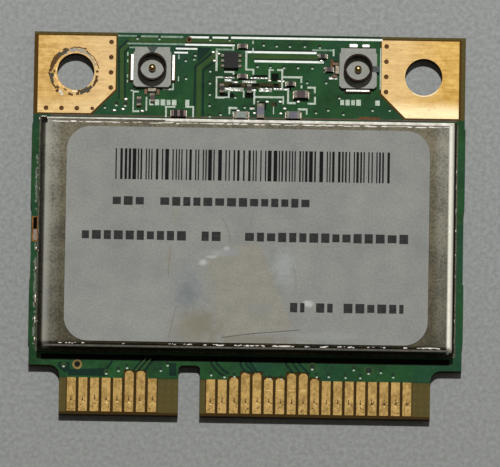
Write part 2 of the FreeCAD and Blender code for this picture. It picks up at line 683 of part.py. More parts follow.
def lands(name, grow, z, height):
    """Every land of the open strip, or with a growth the mask openings around them."""
    items = []
    for number, (_, case, anchor, spot, turned) in enumerate(OPEN_CHIPS):
        x, y = chip_place(anchor, spot)
        items += lands_of_chip(f"{name}_chip_{number}", case, x, y, turned, grow, z, height)
    for step, (x, y) in enumerate(switch_leads()):
        items.append(box(f"{name}_lead_{step}", x, y, z, f"switch_lead_reach + {grow} * 2",
                         f"switch_lead_width + {grow} * 2", height))
    items += socket_land_boxes(f"{name}_left", LEFT_SOCKET, "low", grow, z, height)
    items += socket_land_boxes(f"{name}_right", RIGHT_SOCKET, "left", grow, z, height)
    return items


def frame_ring(name, outer_length, outer_depth, width, z, height):
    """A flat rectangular ring around the shield's middle."""
    outer = box(f"{name}_outer", "0", SHIELD_MIDDLE, z, outer_length, outer_depth, height)
    inner = box(f"{name}_inner", "0", SHIELD_MIDDLE, f"{z} - {height}", f"{outer_length} - {width} * 2",
                f"{outer_depth} - {width} * 2", f"{height} * 3")
    return cut(name, outer, [inner])


TRACK_LENGTH = f"({SHIELD_HALF} * 2 + track_proud * 2)"
TRACK_DEPTH = f"({SHIELD_DEPTH} + track_proud * 2)"


def shield_track():
    """Tinned copper track, flush with the mask, that the fence is soldered to."""
    ring = frame_ring("track", TRACK_LENGTH, TRACK_DEPTH, "track_width", LAMINATE_TOP, "mask_thickness")
    named(ring, "shield_solder_track")


def solder_mask_top():
    blank = card_plate("TopMaskPlate", LAMINATE_TOP, "mask_thickness")
    below = f"({LAMINATE_TOP} - mask_thickness)"
    deep = "mask_thickness * 3"
    bare_top = f"({CONTACT_EDGE} + bare_tab)"
    tools = [box("bare_tabs", "0", f"({bare_top} - board_width / 2)", below, "board_length * 2", "board_width", deep)]
    for step, (x, length) in enumerate(contact_row("0")):
        if length != "contact_short":
            top = f"({CONTACT_EDGE} + contact_edge_gap + {length} + mask_to_contact)"
            tools.append(box(f"contact_window_{step}", x, f"({top} + {CONTACT_EDGE}) / 2", below,
                             "contact_width + mask_to_contact * 2", f"{top} - {CONTACT_EDGE}", deep))
    for side in ("left", "right"):
        tools.append(corner_plate(f"corner_window_{side}", side, below, deep, "mask_to_ground_pad", "1"))
    tools.append(frame_ring("track_window", TRACK_LENGTH, TRACK_DEPTH, "track_width", below, deep))
    tools += lands("mask_window", "land_gap", below, deep)
    named(cut("top_mask", blank, tools), "solder_mask_top")


def solder_mask_back():
    blank = card_plate("BackMaskPlate", "0", "mask_thickness")
    deep = "mask_thickness * 3"
    bare_top = f"({CONTACT_EDGE} + bare_tab)"
    tools = [box("bare_back", "0", f"({bare_top} - board_width / 2)", "0 - mask_thickness",
                 "board_length * 2", "board_width", deep)]
    for side in ("left", "right"):
        tools.append(corner_plate(f"back_window_{side}", side, "0 - mask_thickness", deep, "mask_to_ground_pad", "1"))
    named(cut("back_mask", blank, tools), "solder_mask_back")


def component_lands():
    named(together("component_lands", lands("land", "0", LAMINATE_TOP, "mask_thickness")), "component_lands")


def socket_ring(name):
    """The ring turned about its own axis: lip, snap groove and straight bore."""
    body = new_body(f"{name}_ring")
    profile = sketch_in(body, f"{name}_ring_profile", "0", "XZ_Plane")
    bore = "(ring_radius - ring_wall)"
    waist = "(ring_radius - ring_groove)"
    foot = "(socket_base_height - ring_seat)"
    lip = "(socket_height - ring_lip_height)"
    draw_outline(profile, [
        (bore, foot), (waist, foot), (waist, f"{lip} - ring_groove"), ("ring_radius", lip),
        ("ring_radius", "socket_height - ring_round"), ("ring_radius - ring_round", "socket_height"),
        (f"{bore} + ring_round", "socket_height"), (bore, "socket_height - ring_round"),
    ])
    turn = body.newObject("PartDesign::Revolution", f"{name}_ring_turn")
    turn.Profile = profile
    turn.ReferenceAxis = (profile, ["V_Axis"])
    turn.Angle = 360
    return body


def socket_shell(name):
    """Ring, the two legs that run down through the insulator, and the ground tabs."""
    tube_outer = cylinder(f"{name}_leg_outer", "0", "0", "0", "ring_radius - ring_groove", "socket_base_height")
    tube_inner = cylinder(f"{name}_leg_inner", "0", "0", "0 - socket_base_height", "ring_radius - ring_wall",
                          "socket_base_height * 3")
    tube = cut(f"{name}_leg_tube", tube_outer, [tube_inner])
    legs = doc.addObject("Part::Common", f"{name}_legs")
    legs.Base = tube
    legs.Tool = box(f"{name}_leg_sides", "0", "0", "0", "socket_base * 2", "ring_radius", "socket_base_height")
    tabs = []
    inner = "(ring_radius - ring_wall)"
    outer = "(socket_base / 2 + ground_tab_reach)"
    for number, sign in enumerate("-+"):
        blank = box(f"{name}_tab_blank_{number}", f"0 {sign} ({inner} + {outer}) / 2", "0", "0",
                    f"{outer} - {inner}", "ground_tab_width", "tab_thickness")
        tabs.append(cut(f"{name}_tab_{number}", blank, [
            cylinder(f"{name}_tab_bore_{number}", "0", "0", "0 - tab_thickness", inner, "tab_thickness * 3")]))
    return joined(f"{name}_shell", [socket_ring(name), legs] + tabs)


def socket_pin(name):
    """Centre pin with a rounded tip and its signal tab."""
    shaft = cylinder(f"{name}_shaft", "0", "0", "0", "pin_radius", "pin_height - pin_radius")
    tip = doc.addObject("Part::Sphere", f"{name}_tip")
    bind(tip, "Radius", "pin_radius")
    place(tip, "0", "0", "pin_height - pin_radius")
    tab = box(f"{name}_signal_tab", "0", "0 - (socket_base / 2 + signal_tab_reach) / 2", "0",
              "signal_tab_width", "socket_base / 2 + signal_tab_reach", "tab_thickness")
    return joined(f"{name}_pin", [shaft, tip, tab])


def socket_insulator(name, shell, pin):
    """Square moulding with bevelled corners, an index notch and a raised floor inside the ring."""
    plate = box(f"{name}_plate", "0", "0", "0", "socket_base", "socket_base", "socket_base_height")
    doc.recompute()
    bevelled = doc.addObject("Part::Chamfer", f"{name}_bevelled")
    bevelled.Base = plate
    bevel = size("socket_base_chamfer")
    bevelled.Edges = [(number, bevel, bevel) for number, edge in enumerate(plate.Shape.Edges, start=1)
                      if is_vertical(edge)]
    floor = cylinder(f"{name}_floor", "0", "0", "0", "ring_radius - ring_wall",
                     "socket_base_height + insulator_rise")
    mark = box(f"{name}_mark", "0", "0", "0", "socket_mark", "socket_mark", "socket_base_height * 3")
    place(mark, "0", "socket_base / 2 - socket_mark / 2", "0 - socket_base_height")
    mark.Placement.Rotation = Rotation(Vector(0, 0, 1), 45)
    blank = joined(f"{name}_moulding", [bevelled, floor])
    marked = cut(f"{name}_marked", blank, [mark])
    bored = cut(f"{name}_bored", marked, [pin])
    insulator = cut(f"{name}_insulator", bored, [shell])
    insulator.Refine = False
    return insulator


def antenna_socket(side, anchor, angle):
    """One socket in its own place; the angle turns its signal tab."""
    shell = socket_shell(side)
    pin = socket_pin(side)
    insulator = socket_insulator(side, shell, pin)
    for piece, form in (("shell", shell), ("pin", pin), ("insulator", insulator)):
        item = together(f"{side}_socket_{piece}", [form])
        item.Placement = Placement(Vector(), Rotation(Vector(0, 0, 1), angle))
        place(item, anchor[0], anchor[1], SURFACE)
        named(item, f"antenna_socket_{side}_{piece}")


def dimple_places():
    """Middles of the snap dimples: outward direction and distance along the side."""
    for sign in "-+":
        for step in (-1.5, -0.5, 0.5, 1.5):
            yield "Y", sign, f"(dimple_pitch * {step})"
        for step in (-0.5, 0.5):
            yield "X", sign, f"(dimple_pitch * {step})"


def side_cone(name, direction, sign, along, base_radius, tip_radius, depth, inset):
    """A blunt cone that points from one side of the shield towards its middle."""
    item = doc.addObject("Part::Cone", name)
    bind(item, "Radius1", base_radius)
    bind(item, "Radius2", tip_radius)
    bind(item, "Height", depth)
    z = f"{SURFACE} + dimple_from_board"
    turn = {"-X": 90, "+X": -90, "-Y": -90, "+Y": 90}[sign + direction]
    axis = Vector(0, 1, 0) if direction == "X" else Vector(1, 0, 0)
    item.Placement = Placement(Vector(), Rotation(axis, turn))
    if direction == "X":
        place(item, f"0 {sign} ({SHIELD_HALF} - {inset})", f"{SHIELD_MIDDLE} + {along}", z)
    else:
        place(item, along, f"{SHIELD_MIDDLE} {sign} ({SHIELD_DEPTH} / 2 - {inset})", z)
    return item


def shield_cover():
    """Snap-on cover: bent sides, slit corners, one corner left open, and dimples pressed inwards."""
    base_z = f"({SURFACE} + cover_lift)"
    rim_height = "(shield_height - cover_lift)"
    outer = box("cover_outer", "0", SHIELD_MIDDLE, base_z, f"{SHIELD_HALF} * 2", SHIELD_DEPTH, rim_height)
    outer = rounded("cover_bent", outer, "bend_radius", is_above(f"{base_z} + {rim_height}"))
    inner = box("cover_inner", "0", SHIELD_MIDDLE, f"{base_z} - {rim_height}", f"{SHIELD_HALF} * 2 - cover_sheet * 2",
                f"{SHIELD_DEPTH} - cover_sheet * 2", f"{rim_height} * 2 - cover_sheet")
    inner = rounded("cover_hollow", inner, "bend_radius - cover_sheet",
                    is_above(f"{base_z} + {rim_height} - cover_sheet"))
    can = cut("cover_can", outer, [inner])
    tools = []
    for number, (sign_x, sign_y) in enumerate(("--", "+-", "++")):
        tools.append(corner_box(f"cover_slit_{number}", sign_x, sign_y, "cover_sheet + corner_slit", base_z,
                                "shield_height - cover_lift - bend_radius"))
    tools.append(corner_box("cover_open_corner", "-", "+", "open_corner", base_z, "shield_height"))
    dents, bosses = [], []
    for number, (direction, sign, along) in enumerate(dimple_places()):
        bosses.append(side_cone(f"dimple_boss_{number}", direction, sign, along, "dimple_radius",
                                "dimple_tip_radius", "dimple_depth", "cover_sheet"))
        dents.append(side_cone(f"dimple_dent_{number}", direction, sign, along, "dimple_radius * 0.8",
                               "dimple_tip_radius * 0.6", "dimple_depth", "0"))
    pressed = joined("cover_pressed", [cut("cover_sides", can, tools)] + bosses)
    named(cut("cover", pressed, dents), "shield_cover")


def is_above(height):
    """A test for the edges of a block's upper face."""
    level = size(height)
    return lambda edge: all(abs(vertex.Point.z - level) < 1e-6 for vertex in edge.Vertexes)


def corner_box(name, sign_x, sign_y, side, z, height):
    """A square column at one corner of the cover."""
    x = f"(0 {sign_x} ({SHIELD_HALF} - ({side}) / 2))"
    y = f"({SHIELD_MIDDLE} {sign_y} ({SHIELD_DEPTH} / 2 - ({side}) / 2))"
    return box(name, x, y, f"{z} - mask_thickness", f"{side} + mask_thickness * 0", side,
               f"{height} + mask_thickness")


def shield_fence():
    """Soldered fence: four walls, inward flange, pick-up bridge, foot openings and snap holes."""
    length = f"({SHIELD_HALF} * 2 - {FENCE_INSET} * 2)"
    depth = f"({SHIELD_DEPTH} - {FENCE_INSET} * 2)"
    height = f"({FENCE_TOP} - {SURFACE})"
    outer = box("fence_outer", "0", SHIELD_MIDDLE, SURFACE, length, depth, height)
    room = box("fence_room", "0", SHIELD_MIDDLE, f"{SURFACE} - fence_sheet", f"{length} - fence_sheet * 2",
               f"{depth} - fence_sheet * 2", height)
    window = box("fence_window", "0", SHIELD_MIDDLE, SURFACE, f"{length} - fence_flange * 2",
                 f"{depth} - fence_flange * 2", f"{height} * 2")
    bridge = box("fence_bridge_bar", "0", SHIELD_MIDDLE, f"{FENCE_TOP} - fence_sheet", "fence_bridge",
                 f"{depth} - fence_sheet * 2", "fence_sheet")
    land = cylinder("fence_pickup", "0", SHIELD_MIDDLE, f"{FENCE_TOP} - fence_sheet", "pickup_diameter / 2",
                    "fence_sheet")
    frame = joined("fence_frame", [cut("fence_walls", outer, [room, window]), bridge, land])
    tools = []
    for step in (-4, -3, -2, -1, 0, 1, 2, 3, 4):
        tools.append(box(f"fence_foot_x_{step + 4}", f"(foot_pitch * {step})", SHIELD_MIDDLE,
                         f"{SURFACE} - foot_opening_height", "foot_opening_width", f"{SHIELD_DEPTH} * 2",
                         "foot_opening_height * 2"))
    for step in (-2, -1, 0, 1, 2):
        tools.append(box(f"fence_foot_y_{step + 2}", "0", f"({SHIELD_MIDDLE} + foot_pitch * {step})",
                         f"{SURFACE} - foot_opening_height", "board_length * 2", "foot_opening_width",
                         "foot_opening_height * 2"))
    seat = "dimple_radius + dimple_seat_clearance"
    for number, (direction, sign, along) in enumerate(dimple_places()):
        tools.append(side_cone(f"snap_hole_{number}", direction, sign, along, seat, f"{seat} + 0.001",
                               "fence_sheet * 3", "cover_sheet - cover_gap"))
    named(cut("fence", frame, tools), "shield_fence")


def cover_label():
    low = f"({SHIELD_LOW} + label_low_margin)"
    top = f"({SHIELD_TOP} - label_top_margin)"
    plate = box("label_plate", "0", f"(({low} + {top}) / 2)", f"{SURFACE} + shield_height",
                f"{SHIELD_HALF} * 2 - label_side_margin * 2", f"{top} - {low}", "label_thickness")
    named(rounded("label_rounded", plate, "label_radius", is_vertical), "label")


def side_leads(name, x, y, half_x, half_y, pitch, count, sides):
    """Flat leads under the edges of a package, on two or on all four sides."""
    leads = []
    offset = "(lead_show - lead_length / 2)"
    steps = [step - (count - 1) / 2 for step in range(count)]
    for sign in "-+":
        for step in steps:
            along = f"({pitch} * {step})"
            leads.append(box(f"{name}_x_{len(leads)}", f"{x} {sign} ({half_x} + {offset})", f"{y} + {along}", SURFACE,
                             "lead_length", "lead_width", "lead_thickness"))
            if sides == 4:
                leads.append(box(f"{name}_y_{len(leads)}", f"{x} + {along}", f"{y} {sign} ({half_y} + {offset})",
                                 SURFACE, "lead_width", "lead_length", "lead_thickness"))
    return leads


def flat_package(label, x, y, length, width, height, pitch, count, sides):
    """A moulded package on flat leads around a thermal land."""
    package = box(f"{label}_package", x, y, f"{SURFACE} + lead_thickness", length, width,
                  f"{height} - lead_thickness")
    named(package, label)
    leads = side_leads(f"{label}_lead", x, y, f"{length} / 2", f"{width} / 2", pitch, count, sides)
    leads.append(box(f"{label}_thermal", x, y, SURFACE, f"{length} - lead_length * 3",
                     f"{width} - lead_length * {3 if sides == 4 else 1}", "lead_thickness"))
    named(together(f"{label}_leads", leads), f"{label}_leads")


def packages():
    """Everything on flat leads under the shield."""
    x, y = RADIO_PLACE
    flat_package("radio_chip", x, y, RADIO_SIDE, RADIO_SIDE, "radio_height", f"radio_lead_share * {RADIO_SIDE}", 10, 4)
    y = f"({ROOM_TOP} - wall_clearance - {AMPLIFIER_SIDE} / 2)"
    for side, sign in (("left", "-"), ("right", "+")):
        flat_package(f"power_amplifier_{side}", f"(0 {sign} amplifier_spread_share * {ROOM_HALF})", y, AMPLIFIER_SIDE,
                     AMPLIFIER_SIDE, "amplifier_height", f"amplifier_lead_share * {AMPLIFIER_SIDE}", 4, 4)
    width = f"(memory_width_share * {ROOM_DEPTH})"
    flat_package("memory_chip", COIL_PLACE[0], f"({COIL_PLACE[1]} - {COIL_SIDE} / 2 - package_gap - {width} / 2)",
                 f"(memory_length_share * {ROOM_DEPTH})", width, "memory_height", f"memory_lead_share * {width}", 3, 2)
    side = f"(regulator_share * {ROOM_DEPTH})"
    flat_package("voltage_regulator", f"({COIL_PLACE[0]} + {COIL_SIDE} / 2 + package_gap + {side} / 2)", COIL_PLACE[1],
                 side, side, "regulator_height", f"memory_lead_share * {side}", 3, 2)


def clock_crystal():
    x, y = CRYSTAL_PLACE
    length, width = f"(crystal_length_share * {ROOM_DEPTH})", f"(crystal_width_share * {ROOM_DEPTH})"
    base = box("crystal_base_block", x, y, SURFACE, length, width, "crystal_base_height")
    lid = box("crystal_lid_block", x, y, f"{SURFACE} + crystal_base_height", f"{length} - crystal_lid_inset * 2",
              f"{width} - crystal_lid_inset * 2", "crystal_lid_height")
    named(base, "crystal_base")
    named(lid, "crystal_lid")


def power_inductor():
    """Bevelled ferrite block on two terminals."""
    x, y = COIL_PLACE
    corner, terminal = f"(coil_corner_share * {COIL_SIDE})", f"(coil_terminal_share * {COIL_SIDE})"
    block = box("coil_block", x, y, f"{SURFACE} + lead_thickness", COIL_SIDE, COIL_SIDE,
                "coil_height - lead_thickness")
    doc.recompute()
    core = doc.addObject("Part::Chamfer", "coil_core")
    core.Base = block
    bevel = size(corner)
    core.Edges = [(number, bevel, bevel) for number, edge in enumerate(block.Shape.Edges, start=1)
                  if is_vertical(edge)]
    named(core, "power_inductor")
    ends = [box(f"coil_terminal_{number}", f"{x} {sign} ({COIL_SIDE} - {terminal}) / 2", y, SURFACE,
                terminal, f"{COIL_SIDE} - {corner} * 2", "lead_thickness") for number, sign in enumerate("-+")]
    named(together("coil_terminals", ends), "power_inductor_terminals")


def inner_chips():
    """Bypass capacitors around the radio chip, resistors in a row, and the band filters."""
    x, y = RADIO_PLACE
    beside = f"({RADIO_SIDE} / 2 + bypass_gap)"
    capacitors = []
    for sign in "-+":
        for step in (-1.5, -0.5, 0.5, 1.5):
            along = f"(bypass_share * {RADIO_SIDE} * {step})"
            capacitors.append(("large", f"({x} + {along})", f"({y} {sign} {beside})", False))
            capacitors.append(("large", f"({x} {sign} {beside})", f"({y} + {along})", True))
    low = f"({ROOM_LOW} + wall_clearance + large_length / 2)"
    resistors = [("flat", f"({CRYSTAL_PLACE[0]} + resistor_pitch * {step})", low, True) for step in (-2, -1, 0, 1)]
    high = f"({ROOM_TOP} - wall_clearance - filter_width / 2)"
    filters = [("filter", f"(0 {sign} filter_spread_share * {ROOM_HALF})", high, False) for sign in "-+"]
    terminals = []
    for label, rows in (("bypass_capacitors", capacitors), ("resistors", resistors), ("band_filters", filters)):
        cores = []
        for number, (case, at_x, at_y, turned) in enumerate(rows):
            core, ends = chip(f"{label}_{number}", case, at_x, at_y, turned)
            cores.append(core)
            terminals += ends
        named(together(f"{label}_group", cores), label)
    named(together("inner_terminals", terminals), "shielded_chip_terminals")


def check_document():
    """Stops on any failed object and on any sub-part without a valid solid."""
    for item in doc.Objects:
        if {"Invalid", "Error"} & set(item.State):
            raise RuntimeError(f"{item.Label} failed: {item.State}")
    for item in sub_parts:
        if item.Shape.isNull() or not item.Shape.isValid() or not item.Shape.Solids:
            raise RuntimeError(f"{item.Label} has no valid solid")


circuit_board()
solder_mask_top()
solder_mask_back()
ground_pads()
edge_contacts("edge_contacts_top", LAMINATE_TOP, "0", False)
edge_contacts("edge_contacts_back", "(mask_thickness - gold_thickness)", "back_contact_shift", True)
component_lands()
shield_track()
shield_fence()
shield_cover()
cover_label()
antenna_socket("left", LEFT_SOCKET, 0)
antenna_socket("right", RIGHT_SOCKET, -90)
antenna_switch()
open_chips()
packages()
clock_crystal()
power_inductor()
inner_chips()

doc.recompute()
check_document()
os.makedirs("parts", exist_ok=True)
for item in sub_parts:
    item.Shape.exportStep(f"parts/{item.Label}.step")
    print(item.Label, len(item.Shape.Solids), round(item.Shape.Volume, 4))
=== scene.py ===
import json
import math
import random

import bpy
from mathutils import Euler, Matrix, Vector

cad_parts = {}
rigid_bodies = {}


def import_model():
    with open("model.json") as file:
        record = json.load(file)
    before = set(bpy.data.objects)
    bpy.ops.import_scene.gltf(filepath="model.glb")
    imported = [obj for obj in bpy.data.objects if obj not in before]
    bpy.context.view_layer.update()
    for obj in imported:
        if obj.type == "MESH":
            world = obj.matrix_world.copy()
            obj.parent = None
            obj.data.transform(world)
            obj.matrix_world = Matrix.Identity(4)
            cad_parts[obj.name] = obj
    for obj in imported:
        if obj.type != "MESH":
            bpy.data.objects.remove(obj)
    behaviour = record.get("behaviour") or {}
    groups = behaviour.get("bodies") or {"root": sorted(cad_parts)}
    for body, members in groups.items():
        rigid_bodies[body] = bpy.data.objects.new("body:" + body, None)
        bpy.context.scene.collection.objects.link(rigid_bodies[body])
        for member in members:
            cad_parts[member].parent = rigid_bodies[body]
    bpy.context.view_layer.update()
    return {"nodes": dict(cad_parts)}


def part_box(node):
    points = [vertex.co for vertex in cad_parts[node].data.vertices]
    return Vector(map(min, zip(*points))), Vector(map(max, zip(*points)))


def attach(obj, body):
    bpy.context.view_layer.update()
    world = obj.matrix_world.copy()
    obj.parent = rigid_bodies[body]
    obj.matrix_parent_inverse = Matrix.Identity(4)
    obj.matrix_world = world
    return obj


bl_info = {
    "name": "Wireless network card",
    "version": (1, 0, 0),
    "blender": (4, 5, 0),
    "location": "3D View > Sidebar > Network card",
    "description": "Gives the packed card its finishes, its print and its solder, and sets the stage",
    "category": "Object",
}

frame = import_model()
NODES = frame["nodes"]
MM = 0.001
WAVE_UNIT = 0.314  # Blender's wave texture at scale 1 has bands this wide.
CUT_TOLERANCE = 1e-7  # In metres. Blender's own, 0.1 mm, is more than a drop's height.


def top(name):
    """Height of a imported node's top, in millimetres."""
    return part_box(name)[1][2] / MM


def corners(name):
    """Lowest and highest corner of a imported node's box, in millimetres."""
    return [Vector(corner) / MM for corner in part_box(name)]


# Faces that new pieces lie on, and places that several of them share, in millimetres and radians.
MASK_TOP = top("solder_mask_top")
PAD_TOP = top("ground_pad_left_top")
LABEL_TOP = top("label")
CONTACT_TOP = top("edge_contacts_top")
COVER_LOW, COVER_HIGH = corners("shield_cover")
HOLE_X, HOLE_Y = 12.1, 10.6
CONTACT_PITCH = 0.8
LEFT_CONTACT, RIGHT_CONTACT = -12.0, -2.35
CONTACT_ROWS = ((LEFT_CONTACT, 8), (RIGHT_CONTACT, 18))
PAD_VIA_RADIUS = 0.145
OPEN_VIA = (-4.25, 12.97)
SOCKET_BASE_TOP = 1.404
BEND_RADIUS = 0.38
BACK_SLOPE, FRONT_SLOPE = math.radians(30), math.radians(50)
BACK_BEND_Y, BACK_BEND_BASE = 7.04, 2.68
FRONT_BEND_Y, FRONT_BEND_BASE = -8.69, 2.868
BACK_EDGE_HIGHLIGHT_Y, BACK_EDGE_HIGHLIGHT_BASE = 6.77, 2.893
NICK_Y, RUB_Y, SPECK_Y = -12.28, -12.56, -12.85
CAN_FOOT_X, SLOT_Y = -14.68, -0.5
BARS_START, BARS_END, BARS_Y, BARS_HEIGHT = -9.2, 9.75, 3.86, 2.16
WORD_BLOCK, WORD_GAP = 0.62, 0.20
# How far a mark on the label reaches, in its half sizes, and how ragged its rim is.
MARK_RIM, MARK_RAGGEDNESS = 2.2, 2.4

# Where the light and the camera stand, in metres and radians.
FLOOR_Z = -0.00002
KEY_TURN = (math.radians(-21), math.radians(1.5), 0)
KEY_SPREAD = math.radians(3)
FILL_PLACE, FILL_SIZE, FILL_POWER = (0.35, 0.05, 0.28), 0.2, 0.12
AIM = (0.000198, -0.000590, 0.001)


def linear(hex_colour):
    """A colour written as sRGB, as the shaders need it."""
    channels = [int(hex_colour[i:i + 2], 16) / 255 for i in (1, 3, 5)]
    return tuple(c / 12.92 if c <= 0.04045 else ((c + 0.055) / 1.055) ** 2.4 for c in channels) + (1.0,)


def written(colour):
    """A colour picked on screen, written as sRGB."""
    return "#{:02x}{:02x}{:02x}".format(*(round(255 * c) for c in colour))


def add(tree, kind, values=None, links=None, **settings):
    """Adds a node with its options, its input values and its links."""
    made = tree.nodes.new(kind)
    for key, value in settings.items():
        setattr(made, key, value)
    for key, value in (values or {}).items():
        made.inputs[key].default_value = value
    for key, output in (links or {}).items():
        tree.links.new(output, made.inputs[key])
    return made


def new_material(name, roughness, metallic=0.0, ior=1.5):
    """A material with its shader and the object's own coordinates."""
    made = bpy.data.materials.new(name)
    made.use_nodes = True
    tree = made.node_tree
    shader = tree.nodes["Principled BSDF"]
    shader.inputs["Roughness"].default_value = roughness
    shader.inputs["Metallic"].default_value = metallic
    if not metallic:
        shader.inputs["IOR"].default_value = ior
    place = add(tree, "ShaderNodeTexCoord").outputs["Object"]
    return made, tree, shader, place


def noise(tree, place, size, detail, roughness=0.5):
    """A noise with features of about that many millimetres."""
    return add(tree, "ShaderNodeTexNoise", {"Scale": 1.0 / (size * MM), "Detail": detail, "Roughness": roughness},
               {"Vector": place}).outputs["Fac"]


def wave(tree, place, size, distortion, detail, axis):
    """Bands across an axis, one to that many millimetres."""
    return add(tree, "ShaderNodeTexWave", {"Scale": WAVE_UNIT / (size * MM), "Distortion": distortion,
                                           "Detail": detail}, {"Vector": place}, bands_direction=axis).outputs["Fac"]


def maths(tree, operation, *terms):
    """The result of an operation on numbers and sockets."""
    node = add(tree, "ShaderNodeMath", operation=operation)
    for socket, term in zip(node.inputs, terms):
        if isinstance(term, bpy.types.NodeSocket):
            tree.links.new(term, socket)
        else:
            socket.default_value = term
    return node.outputs[0]


def span(tree, value, start, end, low=0.0, high=1.0):
    """Runs from low to high while the value runs from start to end."""
    return add(tree, "ShaderNodeMapRange", {"From Min": start, "From Max": end, "To Min": low, "To Max": high},
               {"Value": value}).outputs[0]


def separate(tree, vector):
    """The three parts of a vector."""
    return add(tree, "ShaderNodeSeparateXYZ", links={"Vector": vector}).outputs


def mixed(tree, share, under, over):
    """One colour laid over another by a share from 0 to 1."""
    return add(tree, "ShaderNodeMix", links={0: share, 6: under, 7: over}, data_type="RGBA").outputs[2]


def tinted(tree, under, tint, share, blend="MIX"):
    """A plain tint laid over a colour by a share from 0 to 1."""
    return add(tree, "ShaderNodeMix", {7: linear(tint)}, {0: share, 6: under}, data_type="RGBA",
               blend_type=blend).outputs[2]


def colours(tree, factor, stops):
    """A ramp through the given (position, colour) stops."""
    ramp = add(tree, "ShaderNodeValToRGB", links={"Fac": factor})
    elements = ramp.color_ramp.elements
    while len(elements) < len(stops):
        elements.new(0.5)
    for element, (position, colour) in zip(elements, stops):
        element.position = position
        element.color = linear(colour)
    return ramp.outputs["Color"]


def surface(tree, shader, colour, height, strength, depth_mm):
    """Gives the shader its colour and its relief."""
    tree.links.new(colour, shader.inputs["Base Color"])
    relief = add(tree, "ShaderNodeBump", {"Strength": strength, "Distance": depth_mm * MM}, {"Height": height})
    tree.links.new(relief.outputs["Normal"], shader.inputs["Normal"])


def dress(material, *names):
    """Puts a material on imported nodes."""
    for name in names:
        slots = NODES[name].data.materials
        slots.clear()
        slots.append(material)


def open_piece(name):
    """An empty piece at the origin, in edit mode, ready to be drawn."""
    bpy.ops.object.select_all(action="DESELECT")
    bpy.ops.mesh.primitive_plane_add(size=MM)
    bpy.context.object.name = name
    bpy.ops.object.mode_set(mode="EDIT")
    bpy.ops.mesh.select_all(action="SELECT")
    bpy.ops.mesh.delete(type="VERT")


def close_piece(material):
    """Leaves edit mode and gives the open piece its material and its body."""
    bpy.ops.object.mode_set(mode="OBJECT")
    piece = bpy.context.object
    piece.data.materials.clear()
    piece.data.materials.append(material)
    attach(piece, "root")


def flat_piece(name, material, bars, base, thickness):
    """A piece of flat bars, each (middle x, middle y, size in x, size in y), on one face."""
    open_piece(name)
    for bar in bars:
        strip(*bar, base, thickness)
    close_piece(material)


def soften(offset, segments=2):
    """Rounds every edge of the open piece."""
    bpy.ops.mesh.select_all(action="SELECT")
    bpy.ops.mesh.bevel(offset=offset * MM, segments=segments)


def strip(x, y, length, width, base, thickness, angle=0.0):
    """One flat bar in the open piece, in millimetres, turned about Z."""
    bpy.ops.mesh.primitive_cube_add(
        size=1,
        location=(x * MM, y * MM, (base + thickness / 2) * MM),
        rotation=(0, 0, angle),
        scale=(length * MM, width * MM, thickness * MM),
    )


def ribbon(points, width, base, thickness):
    """Bars along a line of points; every other one is a hair thicker, so that no two faces share a plane."""
    for turn, ((x0, y0), (x1, y1)) in enumerate(zip(points, points[1:])):
        run = math.hypot(x1 - x0, y1 - y0)
        strip((x0 + x1) / 2, (y0 + y1) / 2, run + width * 0.8, width, base, thickness * (1 + 0.25 * (turn % 2)),
              math.atan2(y1 - y0, x1 - x0))


def arc(x, y, radius, start, end, width, base, thickness):
    """A flat bar swept round a point, from one angle to another in degrees."""
    bpy.ops.mesh.select_all(action="DESELECT")
    turn = math.radians(start)
    place = ((x + radius * math.cos(turn)) * MM, (y + radius * math.sin(turn)) * MM, (base + thickness / 2) * MM)
    bpy.ops.mesh.primitive_plane_add(size=width * MM, location=place, rotation=(math.pi / 2, 0, turn))
    bpy.ops.transform.resize(value=(1, 1, thickness / width), center_override=place)
    bpy.ops.mesh.spin(steps=max(2, round((end - start) / 8)), angle=math.radians(end - start),
                      center=(x * MM, y * MM, 0), axis=(0, 0, -1))
    bpy.ops.mesh.select_linked()
    bpy.ops.mesh.normals_make_consistent(inside=False)


def blocks(field, width, gap, base, thickness):
    """A row of plain blocks where a word was printed, none of them a letter."""
    start, end, y, height = field
    x = start
    while x < end - 0.2:
        length = min(width * random.choice((0.8, 0.92, 1.0)), end - x)
        strip(x + length / 2, y, length, height * random.choice((0.85, 0.95, 1.0)), base, thickness)
        x += length + gap


def disc(x, y, radius, base, thickness, sides):
    """A flat round plate in the open piece."""
    bpy.ops.mesh.primitive_cylinder_add(
        vertices=sides,
        radius=radius * MM,
        depth=thickness * MM,
        location=(x * MM, y * MM, (base + thickness / 2) * MM),
    )


def bead(x, y, length, width, height, base):
    """A rounded bead, sunk in the metal to its middle."""
    bpy.ops.mesh.primitive_uv_sphere_add(
        segments=10,
        ring_count=6,
        radius=0.5,
        location=(x * MM, y * MM, base * MM),
        scale=(length * MM, width * MM, height * 2 * MM),
    )


def drop(x, y, length, width, height, base):
    """A rounded drop of solder, cut level with the face it lies on."""
    bead(x, y, length, width, height, base)
    bpy.ops.mesh.bisect(plane_co=(0, 0, base * MM), plane_no=(0, 0, 1), use_fill=True, clear_inner=True,
                        threshold=CUT_TOLERANCE)


def bend_bar(x, y, length, slope):
    """A thin bar lying on a bend of the cover, in the open piece."""
    bpy.ops.mesh.primitive_cube_add(
        size=1,
        location=(x * MM, y * MM, (COVER_HIGH.z - BEND_RADIUS * (1 - math.cos(slope))) * MM),
        rotation=(slope, 0, 0),
        scale=(length * MM, 0.15 * MM, 0.02 * MM),
    )


